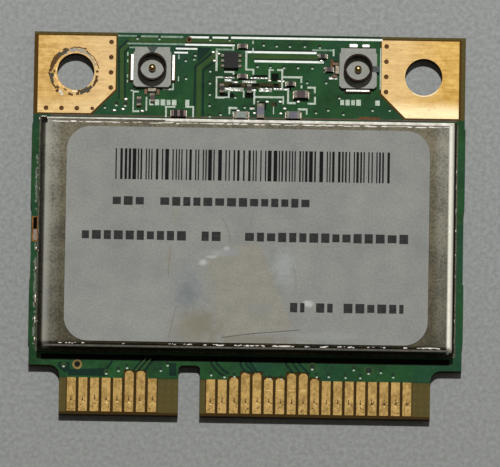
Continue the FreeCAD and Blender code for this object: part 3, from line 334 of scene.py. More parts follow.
def convex_sheet(outline, base, thickness):
    """A thin sheet with a convex outline, in the open piece: a block cut along every side."""
    xs, ys = zip(*outline)
    bpy.ops.mesh.select_all(action="DESELECT")
    strip((min(xs) + max(xs)) / 2, (min(ys) + max(ys)) / 2, max(xs) - min(xs) + 1, max(ys) - min(ys) + 1,
          base, thickness)
    for (x0, y0), (x1, y1) in zip(outline, outline[1:] + outline[:1]):
        outward = (y1 - y0, x0 - x1, 0)
        bpy.ops.mesh.bisect(plane_co=(x0 * MM, y0 * MM, 0), plane_no=outward, use_fill=True, clear_outer=True)
        bpy.ops.mesh.select_linked()


# Finishes

def laminate_finish():
    """Woven glass in epoxy, routed to shape: olive, with a 0.5 mm weave and darker cut edges."""
    made, tree, shader, place = new_material("Woven glass laminate, routed", 0.72, ior=1.2)
    threads = maths(tree, "MULTIPLY", *(wave(tree, place, 0.5, 1.5, 1.0, axis) for axis in "XY"))
    face = colours(tree, threads, [(0.0, "#474524"), (1.0, "#57522d")])
    board = tinted(tree, face, "#574922", noise(tree, place, 1.6, 3.0))
    # Between the contacts and at the front edge the resist leaves the board dark brown.
    x, y = separate(tree, place)[:2]
    groove = maths(tree, "LESS_THAN", y, -10.2 * MM)
    left = maths(tree, "COMPARE", x, -9.2 * MM, 3.18 * MM)
    right = maths(tree, "COMPARE", x, 4.45 * MM, 7.18 * MM)
    band = maths(tree, "MULTIPLY", groove, maths(tree, "MAXIMUM", left, right))
    rim = span(tree, y, -13.2 * MM, -13.27 * MM)
    board = tinted(tree, board, "#3a2804", maths(tree, "MAXIMUM", band, rim))
    # Beside the gold pads the board is stained brown, but for its very edge.
    beside = maths(tree, "LESS_THAN", x, 14.72 * MM)
    back = maths(tree, "LESS_THAN", y, 13.24 * MM)
    behind = maths(tree, "GREATER_THAN", y, 7.0 * MM)
    stained = maths(tree, "MULTIPLY", maths(tree, "MULTIPLY", beside, back), behind)
    board = tinted(tree, board, "#4d3406", stained)
    # Cut edges show the layers of glass cloth as fine dark and light lines, and are painted darker than the top: partly
    # painted shade.
    edge = colours(tree, wave(tree, place, 0.16, 0.6, 2.0, "Z"), [(0.0, "#20170a"), (1.0, "#3b2d14")])
    facing = separate(tree, add(tree, "ShaderNodeNewGeometry").outputs["Normal"])[2]
    flatness = maths(tree, "ABSOLUTE", facing)
    surface(tree, shader, mixed(tree, flatness, edge, board), threads, 0.25, 0.01)
    return made


def lacquer_finish(name, pale, deep, dust="#3d5a44", tint="#16402e"):
    """Solder resist over copper: glossy green lacquer, a little uneven in depth, with specks of dust."""
    made, tree, shader, place = new_material(name, 0.1)
    green = colours(tree, noise(tree, place, 2.2, 5.0, 0.65), [(0.35, deep), (0.65, pale)])
    green = tinted(tree, green, tint, span(tree, noise(tree, place, 5.0, 2.0), 0.45, 0.65, high=0.7))
    dusty = span(tree, noise(tree, place, 0.3, 3.0, 0.7), 0.55, 0.75, high=0.5)
    surface(tree, shader, tinted(tree, green, dust, dusty), noise(tree, place, 1.2, 0.0), 0.3, 0.01)
    return made


def gilding_finish(name, pale, deep, speck="#9a7636", along="X", with_painted_light=False, grain=0.45):
    """Thin gold over nickel and copper: warm, satin, softly mottled, with 0.15 mm brush marks and small pits."""
    made, tree, shader, place = new_material(name, 0.68, metallic=1.0)
    stretch = (0.12, 1.0, 1.0) if along == "X" else (1.0, 0.55, 1.0)
    drawn = add(tree, "ShaderNodeMapping", {"Scale": stretch}, {"Vector": place}).outputs[0]
    brushed = noise(tree, drawn, 0.15, 4.0, 0.7)
    mottled = maths(tree, "MULTIPLY_ADD", brushed, grain, noise(tree, place, 0.7, 5.0, 0.65))
    middle = 0.5 + grain / 2
    gold = colours(tree, mottled, [(middle - 0.145, deep), (min(middle + 0.155, 1.0), pale)])
    # Pale tones and painted reflection on the pads.
    if with_painted_light:
        gold = pad_tones_and_painted_reflection(tree, place, gold, brushed)
    pitted = span(tree, noise(tree, place, 0.2, 2.0), 0.6, 0.75, high=0.4)
    surface(tree, shader, tinted(tree, gold, speck, pitted), brushed, 0.25, 0.01)
    tree.links.new(span(tree, brushed, 0.0, 1.0, 0.76, 0.6), shader.inputs["Roughness"])
    return made


def pad_tones_and_painted_reflection(tree, place, under, streaks):
    """Paler towards the sockets and the can, with a painted cream reflection along the edge by the can, full on the
    right pad and faint on the left.
    """
    x, y = separate(tree, place)[:2]
    inwards = span(tree, maths(tree, "ABSOLUTE", x), 13.5 * MM, 10.5 * MM, high=0.6)
    paler = tinted(tree, under, "#d2b98d", inwards)
    # Painted reflection: cream along the pad's edge on the can's side.
    ragged = maths(tree, "MULTIPLY_ADD", streaks, 1.6 * MM, y)
    low = span(tree, ragged, 9.7 * MM, 9.0 * MM, high=0.9)
    right = span(tree, x, 0.0, 9.0 * MM, low=0.25)
    return tinted(tree, paler, "#eddcb4", maths(tree, "MULTIPLY", low, right))


def tin_finish(name, pale, deep, with_painted_light=False):
    """Tin-plated steel sheet: dull grey with a sandy 0.15 mm grain."""
    made, tree, shader, place = new_material(name, 0.7, metallic=1.0)
    grain = noise(tree, place, 0.15, 3.0, 0.85)
    patchy = maths(tree, "MULTIPLY_ADD", noise(tree, place, 1.6, 3.0), 0.4, grain)
    result = colours(tree, span(tree, patchy, 0.58, 0.82), [(0.1, deep), (0.9, pale)])
    # Painted light and shade, standing in for how the key light falls on the can.
    if with_painted_light:
        result = painted_can_light(tree, place, result)
    surface(tree, shader, result, grain, 0.6, 0.02)
    tree.links.new(span(tree, grain, 0.0, 1.0, 0.6, 0.8), shader.inputs["Roughness"])
    return made


def painted_can_light(tree, place, under):
    """Painted light on the can: shade towards the contact edge, down the left and front bends and past the right bend;
    highlights on the side bends.
    """
    x, y = separate(tree, place)[:2]
    result = under
    middle = maths(tree, "ABSOLUTE", x)
    for along, start, end, tint in ((y, 5, -9, "#bdbcb4"), (x, -14.0, -14.14, "#a3a39e"), (y, -8.5, -8.7, "#a9a69c"),
                                    (middle, 13.3, 12.9, "#dcd6c8"), (x, 14.22, 14.30, "#5c5a52")):
        result = tinted(tree, result, tint, span(tree, along, start * MM, end * MM), "MULTIPLY")
    for start, end, foot, head, share, tint in ((13.86, 13.98, 14.30, 14.24, 1.0, "#d6d4c8"),
                                                (-13.5, -13.9, -14.12, -14.02, 0.45, "#a9a8a0")):
        inner = span(tree, x, start * MM, end * MM)
        outer = span(tree, x, foot * MM, head * MM)
        reach = maths(tree, "MULTIPLY", maths(tree, "MULTIPLY", inner, outer), share)
        result = tinted(tree, result, tint, reach)
    return result


def solder_finish(name, pale, deep, roughness=0.42):
    """Reflowed solder: bright and slightly frosted, with 0.12 mm ripples."""
    made, tree, shader, place = new_material(name, roughness, metallic=1.0)
    frost = noise(tree, place, 0.12, 3.0)
    surface(tree, shader, colours(tree, frost, [(0.3, deep), (0.7, pale)]), frost, 0.5, 0.02)
    return made


def plain_finish(name, pale, deep, roughness, grain_mm, metallic=0.0, relief=0.2, ior=1.5):
    """A moulded, fired or printed surface with a fine two-tone grain."""
    made, tree, shader, place = new_material(name, roughness, metallic, ior)
    grain = noise(tree, place, grain_mm, 4.0, 0.6)
    surface(tree, shader, colours(tree, grain, [(0.3, deep), (0.7, pale)]), grain, relief, 0.01)
    return made


def label_finish(colour):
    """Coated grey paper label, rubbed and stained, with faint mottling and the remains of a tape."""
    made, tree, shader, place = new_material("Coated label paper, rubbed", 0.62, ior=1.45)
    paper = colours(tree, noise(tree, place, 2.2, 6.0, 0.6),
                    [(0.3, "#7c7e79"), (0.5, written(colour)), (0.7, "#8d8e88")])
    # The coating's own grain is finer; 0.15 mm is the least that shows.
    dimmer = colours(tree, noise(tree, place, 0.15, 2.0), [(0.35, "#ececea"), (0.65, "#ffffff")])
    result = add(tree, "ShaderNodeMix", {0: 1.0}, {6: tape_film(tree, place, paper), 7: dimmer}, data_type="RGBA",
                 blend_type="MULTIPLY").outputs[2]
    rough = noise(tree, place, 0.5, 6.0, 0.75)
    for (x, y), (half_x, half_y), tint, strength, feather in LABEL_MARKS:
        local = add(tree, "ShaderNodeMapping", {
            "Location": (-x / half_x, -y / half_y, 0),
            "Scale": (1 / (half_x * MM), 1 / (half_y * MM), 0),
        }, {"Vector": place}).outputs[0]
        reach = add(tree, "ShaderNodeVectorMath", links={0: local}, operation="LENGTH").outputs["Value"]
        ragged = maths(tree, "MULTIPLY_ADD", rough, MARK_RAGGEDNESS, reach)
        inside = span(tree, ragged, MARK_RIM, MARK_RIM - feather, high=strength)
        result = tinted(tree, result, tint, inside)
    surface(tree, shader, result, noise(tree, place, 0.2, 3.0), 0.15, 0.01)
    return made


def tape_film(tree, place, under):
    """Old yellowed tape: sharp down its right side and along its foot, faded into the paper on its left."""
    rough = noise(tree, place, 0.8, 4.0)
    ragged = add(tree, "ShaderNodeVectorMath", {1: (0.5, 0.5, 0.5)}, {0: rough.node.outputs["Color"]},
                 operation="SUBTRACT").outputs[0]
    inside = 1.0
    for (x0, y0), (x1, y1), feather in TAPE_SIDES:
        run = math.hypot(x1 - x0, y1 - y0)
        inward = ((y0 - y1) / run, (x1 - x0) / run, 0)
        loose, depth = (add(tree, "ShaderNodeVectorMath", {1: inward}, {0: vector}, operation="DOT_PRODUCT")
                        .outputs["Value"] for vector in (ragged, place))
        edge = (inward[0] * x0 + inward[1] * y0) * MM
        moved = maths(tree, "MULTIPLY_ADD", loose, 2 * feather * MM, depth)
        inside = maths(tree, "MULTIPLY", inside, span(tree, moved, edge, edge + feather * MM))
    return mixed(tree, inside, under, colours(tree, rough, [(0.3, "#828175"), (0.7, "#8d8a7e")]))


# Places on the board, in millimetres. Bars are (middle x, middle y, size in x, size in y). What lies on one
# face differs in thickness, so that no two faces share a plane.

# Painted highlights: strips, white or dull green, where the key light catches the walls of grooves in the lacquer.
PAINTED_GROOVE_HIGHLIGHTS = [
    (-3.55, 13.15, 1.33, 0.14), (-2.08, 13.15, 1.09, 0.14), (3.93, 13.16, 10.54, 0.15), (-2.81, 12.62, 3.46, 0.13),
    (2.14, 12.17, 4.96, 0.15), (2.72, 11.53, 4.82, 0.15), (-4.42, 12.33, 1.50, 0.12), (-4.80, 12.05, 0.95, 0.12),
]
PAINTED_DULL_HIGHLIGHTS = [
    (-8.55, 13.17, 1.30, 0.11), (-7.00, 13.16, 1.20, 0.13), (-5.45, 13.15, 1.55, 0.14), (-6.55, 12.64, 4.00, 0.12),
    (-7.78, 12.36, 1.25, 0.10), (-1.75, 12.32, 1.28, 0.13), (5.06, 12.38, 1.50, 0.12),
]
PRINTED_LINES = [
    (-1.42, 10.74, 0.70, 0.12), (1.48, 10.92, 0.37, 0.10), (2.11, 10.93, 0.40, 0.13),
    (-0.01, 10.93, 0.59, 0.12), (2.99, 10.44, 1.34, 0.14), (4.31, 9.73, 0.59, 0.14), (4.34, 8.60, 0.59, 0.13),
    (-1.56, 8.96, 0.35, 0.11), (1.38, 9.01, 1.95, 0.14), (-1.14, 8.21, 0.61, 0.15), (2.94, 8.62, 0.57, 0.15),
    (3.72, 8.19, 0.67, 0.14), (-7.87, 9.25, 0.34, 0.11), (-7.88, 7.87, 0.47, 0.12), (-5.50, 8.22, 0.72, 0.12),
    (-4.14, 8.24, 0.61, 0.12), (-5.65, 9.45, 0.76, 0.11), (-2.05, 8.93, 0.63, 0.13), (-2.32, 11.52, 0.14, 1.44),
    (-0.26, 11.55, 0.14, 1.34), (0.25, 10.77, 0.12, 0.38), (5.81, 12.22, 0.12, 0.49), (-1.13, 10.67, 0.11, 0.24),
    (1.37, 10.63, 0.12, 0.70), (2.26, 10.28, 0.12, 1.47), (3.59, 10.29, 0.12, 0.49), (3.61, 9.78, 0.12, 0.22),
    (2.69, 9.11, 0.13, 1.10), (4.54, 9.57, 0.13, 0.45), (4.56, 8.83, 0.13, 0.52), (-1.43, 9.18, 0.12, 0.48),
    (-0.40, 9.20, 0.10, 0.48), (0.34, 8.97, 0.12, 0.96), (2.36, 8.82, 0.10, 0.59), (-1.37, 8.02, 0.12, 0.51),
    (4.00, 8.03, 0.11, 0.40), (-8.07, 8.56, 0.09, 1.54), (-7.15, 8.40, 0.11, 0.98), (-5.78, 7.84, 0.12, 0.70),
    (-3.89, 7.87, 0.12, 0.70), (-2.30, 9.64, 0.11, 1.52), (9.09, 11.13, 0.08, 2.93), (-2.06, 10.36, 0.44, 0.11),
    (0.19, 12.85, 0.10, 0.22), (0.20, 12.28, 0.10, 0.36), (-1.17, 12.46, 0.10, 0.34), (1.69, 8.08, 0.06, 0.52),
    (-8.50, 11.90, 0.07, 0.26), (-8.50, 11.40, 0.07, 0.20), (-8.50, 10.35, 0.07, 0.22), (-8.50, 9.98, 0.07, 0.18),
    (-4.95, 11.75, 0.07, 0.30), (-4.95, 10.20, 0.07, 0.34), (-5.31, 9.66, 0.09, 0.42),
]
BRIGHT_LANDS = [
    (-1.41, 10.34, 0.70, 0.13), (-1.49, 10.14, 0.54, 0.17), (-0.99, 10.03, 0.40, 0.14), (-0.03, 10.07, 0.99, 0.19),
    (0.67, 10.33, 1.23, 0.13), (2.18, 10.15, 0.50, 0.15), (-1.08, 9.51, 1.33, 0.27), (0.30, 9.48, 0.31, 0.17),
    (1.11, 9.51, 0.91, 0.28), (2.18, 9.57, 1.01, 0.16), (5.80, 10.42, 0.60, 0.20), (-1.00, 7.86, 0.37, 0.20),
    (0.21, 8.19, 0.37, 0.16),
]
BARE_GAPS = [(0.05, 9.80, 4.50, 0.40), (1.72, 8.50, 0.42, 0.30)]
# Black runs between the lands; the four at y 9.70 to 9.87, just up the board from long lands, are painted shade.
DARK_AND_SHADE_RUNS = [
    (0.90, 8.40, 0.55, 0.55), (1.76, 10.42, 0.50, 0.55), (-1.58, 9.10, 0.95, 0.30), (0.02, 9.12, 0.60, 0.40),
    (6.00, 11.25, 0.30, 0.75), (-1.02, 9.77, 0.85, 0.20), (0.38, 9.84, 0.62, 0.20), (1.16, 9.70, 0.75, 0.16),
    (1.85, 9.87, 0.35, 0.20), (2.75, 9.62, 0.30, 0.30), (-1.05, 10.52, 0.30, 0.16), (0.75, 10.50, 0.90, 0.12),
]
# Vias: (x, y), those in a pale ring with their radius.
VIAS = [
    (0.50, 11.13), (1.40, 11.10), (2.36, 11.08), (3.33, 11.10), (4.32, 11.08), (5.21, 10.85), (3.97, 10.05),
    (5.30, 10.06), (-1.01, 8.94), (-0.34, 8.25), (6.23, 9.01), (5.47, 8.14), (4.62, 7.94), (6.53, 7.86),
    (-2.78, 9.12), (-2.79, 8.34), (-2.77, 7.58), (-2.01, 7.71), (-10.06, 8.09), (-8.23, 9.35), (0.91, 12.65),
    (1.82, 12.60), (2.73, 12.58), (3.77, 12.60), (4.82, 12.55), (-4.49, 11.47), (-4.45, 10.21), (-3.90, 11.58),
    (-3.83, 11.86), (-2.81, 12.97), (-1.47, 12.96), (-7.88, 12.98), (-6.35, 12.97),
    (-2.78, 10.76), (-2.78, 9.92), (0.58, 8.70), (8.55, 8.18), (9.74, 8.20),
    (-2.36, -10.46), (-1.44, -10.58), (-0.74, -10.54), (1.74, -10.65), (2.52, -10.67), (4.96, -10.47),
    (5.79, -10.45), (6.95, -10.49), (7.97, -10.49), (7.51, -9.95), (9.39, -10.11), (10.26, -10.41),
    (-8.78, -10.27), (-8.19, -10.05), (-5.85, -10.21), (-5.39, -9.83),
]
PAD_VIAS = [(-9.65, 12.72 - 1.07 * step) for step in range(4)] + [(9.49, 12.72 - 1.07 * step) for step in range(4)]
PAD_VIAS += [(-14.12 + 1.07 * step, 8.02) for step in range(4)]
RINGED_VIAS = [(-9.22, 8.41, 0.20), (-8.60, 8.39, 0.20), (-12.55, -9.99, 0.15), (-9.58, -10.45, 0.17),
               (4.68, -9.85, 0.25), (8.59, -10.07, 0.28)]
SOLDER_SPOTS = [
    (-2.18, 12.00), (-2.57, 12.10), (-2.47, 11.50), (4.96, 11.61),
    (1.38, 10.16), (3.41, 8.71), (1.24, 8.67), (2.15, 8.69), (0.37, 7.86), (2.20, 7.86), (2.47, 8.21),
    (-0.77, 8.00), (-8.58, 8.70), (-9.37, 7.90), (-8.77, 7.99), (-7.43, 7.88),
]
SWITCH_FILLETS = [(-1.88, 11.88), (-1.87, 11.51), (-1.87, 11.13)]
# Solder beside the sockets: (x and y from the socket's middle, size in x, size in y, thickness).
SOCKET_SOLDER = {
    "left": [(-1.40, 0.10, 0.27, 1.90, 0.16), (1.47, 0.10, 0.25, 1.86, 0.16)],
    "right": [(0, -1.43, 1.70, 0.22, 0.16), (-0.34, 1.72, 0.64, 0.30, 0.20), (0.52, 1.72, 0.58, 0.26, 0.18)],
}
TAB_SIDES = [(-7.21, 9.24, 0.20, 0.42), (-6.35, 9.24, 0.20, 0.42), (5.95, 11.42, 0.42, 0.22), (5.90, 10.55, 0.34, 0.22)]
CAN_DROPS = [
    (-14.62, -1.9, 0.2, 0.4), (-14.62, -3.3, 0.2, 0.5), (-14.62, -5.4, 0.2, 1.05), (-14.62, -6.9, 0.2, 0.85),
    (-14.62, -8.25, 0.2, 0.5), (-14.28, 7.40, 0.62, 0.16), (-14.55, 7.22, 0.16, 0.36),
]
# Gaps beside traces, the traces, and the outlines of darker layers.
CLEARANCES = [
    [(-2.54, 12.13), (-3.80, 11.09), (-3.81, 7.53)],
    [(-2.21, 11.68), (-3.24, 10.82), (-3.22, 7.54)],
    [(-9.04, 8.76), (-9.12, 12.25), (-8.59, 12.77), (-4.54, 12.84)],
    [(-8.66, 8.83), (-8.73, 12.05), (-8.30, 12.48)],
    [(-2.34, -9.30), (-2.34, -9.77), (-1.86, -10.33), (-1.52, -10.55)],
    [(-2.09, -9.30), (-1.94, -9.76), (-1.53, -10.15), (-1.13, -10.43)],
    [(-0.30, -9.30), (-0.29, -9.79), (-0.17, -10.07), (0.23, -10.35)],
    [(-0.07, -9.30), (0.11, -9.78), (0.58, -10.29)],
    [(0.21, -9.30), (0.45, -9.77), (0.80, -10.28)],
    [(2.73, -9.30), (2.90, -9.79), (3.30, -10.29)],
    [(3.15, -9.30), (3.41, -9.78), (3.76, -10.23)],
    [(3.56, -9.30), (3.85, -9.77), (4.44, -10.33)],
    [(-7.05, -9.50), (-7.71, -10.29)],
    [(-9.62, -10.30), (-9.22, -9.70)],
    [(-6.73, -9.50), (-7.39, -10.29)],
    [(-6.35, -9.50), (-6.91, -10.28)],
]
DARK_LAYERS = [
    [(-3.70, 12.44), (-3.62, 11.36), (-2.66, 12.42)],
    [(-12.28, -10.22), (-12.25, -10.73), (-9.50, -10.73), (-9.55, -10.18)],
    [(-12.98, -9.80), (-12.98, -10.10), (-12.50, -10.55), (-12.15, -10.40), (-12.15, -9.80)],
    [(-5.24, -9.75), (-5.24, -10.64), (-4.75, -10.64), (-4.75, -9.75)],
]
PALE_TRACES = [
    [(-2.36, 11.98), (-3.52, 11.00), (-3.52, 7.55)],
    [(-8.86, 8.80), (-8.92, 12.15), (-8.45, 12.62)],
    [(-8.30, 12.90), (-1.20, 12.86)],
    [(0.10, 11.86), (4.80, 11.84)],
    [(-6.55, -9.50), (-7.15, -10.25)],
    [(-6.90, -9.50), (-7.55, -10.28)],
]
# Old tape on the label: (start, end, width of the soft edge) of each side, the tape lying left of it.
TAPE_SIDES = [
    ((-1.62, -8.12), (4.05, -7.45), 0.06), ((3.32, -7.55), (0.94, -1.60), 0.06), ((0.95, -1.50), (-0.8, -1.35), 0.4),
    ((-0.8, -1.35), (-3.6, -2.9), 0.6), ((-3.6, -2.7), (-2.2, -8.12), 0.9),
]
# Rubs, stains and glue on the label: (middle, half size, colour, strength, width of the soft edge).
LABEL_MARKS = [
    ((-3.95, -4.7), (1.7, 2.5), "#717676", 0.85, 0.9), ((-4.1, -5.2), (1.0, 1.2), "#636b6b", 0.7, 0.8),
    ((-3.4, -7.5), (2.2, 1.7), "#787361", 0.9, 0.7), ((-3.1, -7.2), (1.3, 1.0), "#706b5a", 0.7, 0.8),
    ((-3.0, -2.95), (0.40, 0.26), "#b0b3b0", 0.8, 0.7), ((-2.4, -2.55), (0.5, 0.16), "#a5a9a6", 0.7, 0.7),
    ((-1.4, -2.0), (0.30, 0.22), "#b4b7b3", 0.8, 0.7), ((4.3, -5.75), (0.45, 0.30), "#b2b5b2", 0.8, 0.5),
    ((-1.9, -2.3), (1.5, 0.35), "#9a9e9b", 0.5, 0.8), ((2.6, -3.1), (1.0, 1.6), "#9aa09e", 0.55, 0.8),
    ((0.6, -8.35), (3.9, 0.5), "#777162", 0.85, 0.6), ((0.9, -6.2), (0.9, 0.55), "#777a75", 0.6, 0.6),
    ((-5.4, -2.6), (0.30, 1.5), "#807d6e", 0.6, 0.8), ((-4.95, 0.35), (0.25, 0.7), "#84816f", 0.7, 0.8),
    ((6.1, -8.0), (3.0, 0.35), "#8f948f", 0.4, 0.5), ((-1.1, -2.2), (0.9, 0.45), "#7d8083", 0.5, 0.6),
]
TEAR = [(-1.62, -8.19), (-0.4, -8.00), (0.8, -7.85), (2.2, -7.72), (3.72, -7.58)]
CREASES = [  # (width, line)
    (0.045, [(-5.28, -1.9), (-5.34, -2.6), (-5.42, -3.6), (-5.36, -4.1)]),
    (0.05, [(-4.80, -6.0), (-5.05, -7.0), (-5.35, -8.35)]),
    (0.045, [(-1.75, 0.20), (-1.45, -0.35), (-1.25, -0.85), (-1.15, -1.5)]),
    (0.04, [(0.22, 0.10), (0.30, -0.45)]),
    (0.035, [(3.25, -3.2), (3.42, -3.9), (3.45, -4.9)]),
]
# Marks left round the left hole by a screw: (radius, start, end, width) in millimetres and degrees.
SCARS = {
    "brown": [(1.70, 136, 160, 0.32), (1.73, 160, 181, 0.30), (1.90, 182, 188, 0.12), (1.78, 206, 222, 0.14),
              (1.71, 66, 104, 0.10), (1.58, 8, 66, 0.07), (1.53, -2, 4, 0.18), (1.54, -40, -10, 0.22),
              (1.70, 112, 122, 0.20), (1.46, 176, 183, 0.14), (1.43, -84, -75, 0.20),
              (1.66, -108, -96, 0.22), (1.65, -142, -134, 0.20), (1.86, -136, -130, 0.20),
              (1.46, -124, -115, 0.14), (1.52, -88, -80, 0.25)],
    "grey": [(1.60, 108, 138, 0.30), (1.50, -78, -42, 0.36), (1.74, 184, 208, 0.30)],
    "silver": [(1.52, 72, 106, 0.26), (1.49, 52, 72, 0.16), (1.43, 18, 52, 0.12), (1.44, 112, 122, 0.10)],
    # Painted glints where the scored metal catches the light.
    "bright": [(1.75, -129, -124, 0.20), (1.87, -122, -118, 0.14)],
    "rim": [(1.42, 190, 240, 0.14), (1.36, 145, 178, 0.10)],
}
# Places where the can's front bend is worn bright and painted with highlights: (x, length).
FRONT_BEND_WEAR_AND_HIGHLIGHTS = [(-12.6, 0.45), (-11.9, 0.60), (-11.35, 0.30), (-8.40, 0.30), (-5.00, 0.50), (-4.06, 0.64),
             (-2.10, 1.40), (0.38, 2.15), (2.53, 1.60), (4.13, 0.45), (5.50, 0.60), (7.00, 1.10), (8.73, 0.50),
             (9.50, 0.35), (11.10, 0.40), (12.60, 1.75)]
# Fields of plain blocks in place of words: (start, end, middle y, height of a block).
LABEL_FIELDS = [(-9.35, -6.9, 1.28, 0.62), (-6.05, 4.61, 1.28, 0.62), (-11.44, -3.95, -1.13, 0.66),
                (-3.15, -1.55, -1.13, 0.66), (-0.14, 11.15, -1.13, 0.66), (3.05, 4.05, -6.02, 0.66),
                (4.85, 6.0, -6.02, 0.66), (6.75, 10.9, -6.02, 0.66)]
BOARD_FIELDS = [(-6.95, -4.85, 8.52, 0.42), (-4.45, -4.17, 8.52, 0.42), (6.33, 8.05, 8.72, 0.42),
                (8.75, 9.10, 8.72, 0.42)]


class CardSizes(bpy.types.PropertyGroup):
    """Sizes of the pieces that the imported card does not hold."""

    print_thickness: bpy.props.FloatProperty(
        name="Print thickness", description="Thickness of the printed lines on the board, in millimetres",
        default=0.012, min=0.002, max=0.05)
    ink_thickness: bpy.props.FloatProperty(
        name="Ink thickness", description="Thickness of the print on the label, in millimetres",
        default=0.003, min=0.001, max=0.01)
    trace_gap: bpy.props.FloatProperty(
        name="Gap beside a trace", description="Width of the dark gap beside a copper trace, in millimetres",
        default=0.16, min=0.05, max=0.3)
    via_radius: bpy.props.FloatProperty(
        name="Via radius", description="Radius of a via filled with lacquer, in millimetres",
        default=0.11, min=0.05, max=0.3)


class CardColours(bpy.types.PropertyGroup):
    """Colours that a user would change."""

    label: bpy.props.FloatVectorProperty(
        name="Label", description="Colour of the paper label, as shown on screen", subtype="COLOR_GAMMA",
        default=(0.525, 0.529, 0.508), min=0.0, max=1.0)
    mat: bpy.props.FloatVectorProperty(
        name="Floor", description="Colour of the plain floor, as shown on screen", subtype="COLOR_GAMMA",
        default=(0.580, 0.588, 0.584), min=0.0, max=1.0)


class CardStage(bpy.types.PropertyGroup):
    """Camera and light."""

    distance: bpy.props.FloatProperty(
        name="Camera distance", description="Distance from the card to the camera", default=0.8, min=0.2, max=3.0,
        unit="LENGTH", subtype="DISTANCE")
    tilt: bpy.props.FloatProperty(
        name="Camera tilt", description="How far the camera leans from straight above", default=math.radians(8.5),
        min=0.0, max=1.2, unit="ROTATION", subtype="ANGLE")
    roll: bpy.props.FloatProperty(
        name="Camera roll", description="How far the picture is turned", default=math.radians(0.94), min=-0.5,
        max=0.5, unit="ROTATION", subtype="ANGLE")
    width: bpy.props.FloatProperty(
        name="Picture width", description="Width of the picture at the card", default=0.0347, min=0.01, max=0.2,
        unit="LENGTH", subtype="DISTANCE")
    key_strength: bpy.props.FloatProperty(
        name="Key light", description="Strength of the key light from behind the card", default=2.88, min=0.0,
        max=10.0)
    sky_strength: bpy.props.FloatProperty(
        name="Ambient light", description="Strength of the light from all round", default=0.10, min=0.0, max=2.0)


class CARD_OT_board(bpy.types.Operator):
    """Finishes the laminate, the solder mask, the pads and the contacts"""

    bl_idname = "card.board"
    bl_label = "Finish the board"

    def execute(self, context):
        dress(laminate_finish(), "circuit_board")
        dress(lacquer_finish("Green solder resist, glossy", "#235529", "#15391b"), "solder_mask_top",
              "solder_mask_back")
        # The pads carry painted reflection along their edges by the can.
        dress(gilding_finish("Gold on copper, faint painted reflection", "#caaa6e", "#b08e50", with_painted_light=True), "ground_pad_left_top")
        dress(gilding_finish("Gold on copper, painted reflection", "#cdad67", "#b9944c", with_painted_light=True), "ground_pad_right_top",
              "ground_pad_left_back", "ground_pad_right_back")
        dress(gilding_finish("Gold on contacts, worn", "#b0935b", "#917744", "#6b5226", along="Y", grain=0.8),
              "edge_contacts_top", "edge_contacts_back")
        dress(solder_finish("Tin solder, reflowed", "#8f8c80", "#5b584e"), "component_lands")
        dress(tin_finish("Tinned copper track", "#6d6a58", "#47453a"), "shield_solder_track")
        return {"FINISHED"}


class CARD_OT_shield(bpy.types.Operator):
    """Finishes the shield can and its label"""

    bl_idname = "card.shield"
    bl_label = "Finish the shield can"

    def execute(self, context):
        # The cover carries painted light and shade on its bends and towards the contact edge.
        dress(tin_finish("Tinned steel sheet, with painted light and shade", "#939083", "#64625a", True), "shield_cover")
        dress(tin_finish("Tinned steel sheet, soldered", "#8f8c80", "#65625a"), "shield_fence", "crystal_lid")
        dress(label_finish(context.scene.card_colours.label), "label")
        return {"FINISHED"}


class CARD_OT_sockets(bpy.types.Operator):
    """Finishes the coaxial antenna sockets"""

    bl_idname = "card.sockets"
    bl_label = "Finish the antenna sockets"

    def execute(self, context):
        # The ring is painted dark: painted shade and dark reflections on its walls and lip.
        ring = plain_finish("Bronze, plated, painted dark for its shade", "#2b231c", "#1a1410", 0.55, 0.3, metallic=1.0)
        pin = plain_finish("Brass, gilded and turned", "#e6cd92", "#a8813f", 0.3, 0.2, metallic=1.0)
        moulding = plain_finish("Liquid crystal polymer, moulded", "#9b9c93", "#8a8c84", 0.65, 0.35, ior=1.4)
        for side in ("left", "right"):
            dress(ring, f"antenna_socket_{side}_shell")
            dress(pin, f"antenna_socket_{side}_pin")
            dress(moulding, f"antenna_socket_{side}_insulator")
        return {"FINISHED"}


class CARD_OT_chips(bpy.types.Operator):
    """Finishes the chips in the open and under the can"""

    bl_idname = "card.chips"
    bl_label = "Finish the chips"

    def execute(self, context):
        package = plain_finish("Epoxy moulding compound, matt", "#2b2c2b", "#1b1c1b", 0.75, 0.12, relief=0.5, ior=1.35)
        capacitor = plain_finish("Barium titanate ceramic, fired", "#4a3336", "#33252a", 0.6, 0.2, ior=1.4)
        inductor = plain_finish("Ceramic inductor, glazed", "#5d5866", "#45414e", 0.5, 0.2, ior=1.4)
        resistor = plain_finish("Glass over alumina, black", "#2b2828", "#191818", 0.6, 0.2, ior=1.35)
        white = plain_finish("Alumina ceramic, fired", "#b6b6ac", "#a3a399", 0.5, 0.3)
        ferrite = plain_finish("Ferrite, pressed", "#3a3a3b", "#2a2a2b", 0.55, 0.15, relief=0.5)
        tin = solder_finish("Tinned terminals", "#827e70", "#4c4940", 0.62)
        dress(package, "antenna_switch", "radio_chip", "power_amplifier_left", "power_amplifier_right",
              "memory_chip", "voltage_regulator")
        dress(capacitor, "antenna_strip_capacitors", "bypass_capacitors")
        dress(inductor, "antenna_strip_inductors")
        dress(resistor, "antenna_strip_resistors", "resistors")
        dress(white, "crystal_base", "band_filters")
        dress(ferrite, "power_inductor")
        dress(tin, "antenna_switch_leads", "antenna_strip_chip_terminals", "radio_chip_leads",
              "power_amplifier_left_leads", "power_amplifier_right_leads", "memory_chip_leads",
              "voltage_regulator_leads", "power_inductor_terminals", "shielded_chip_terminals")
        return {"FINISHED"}


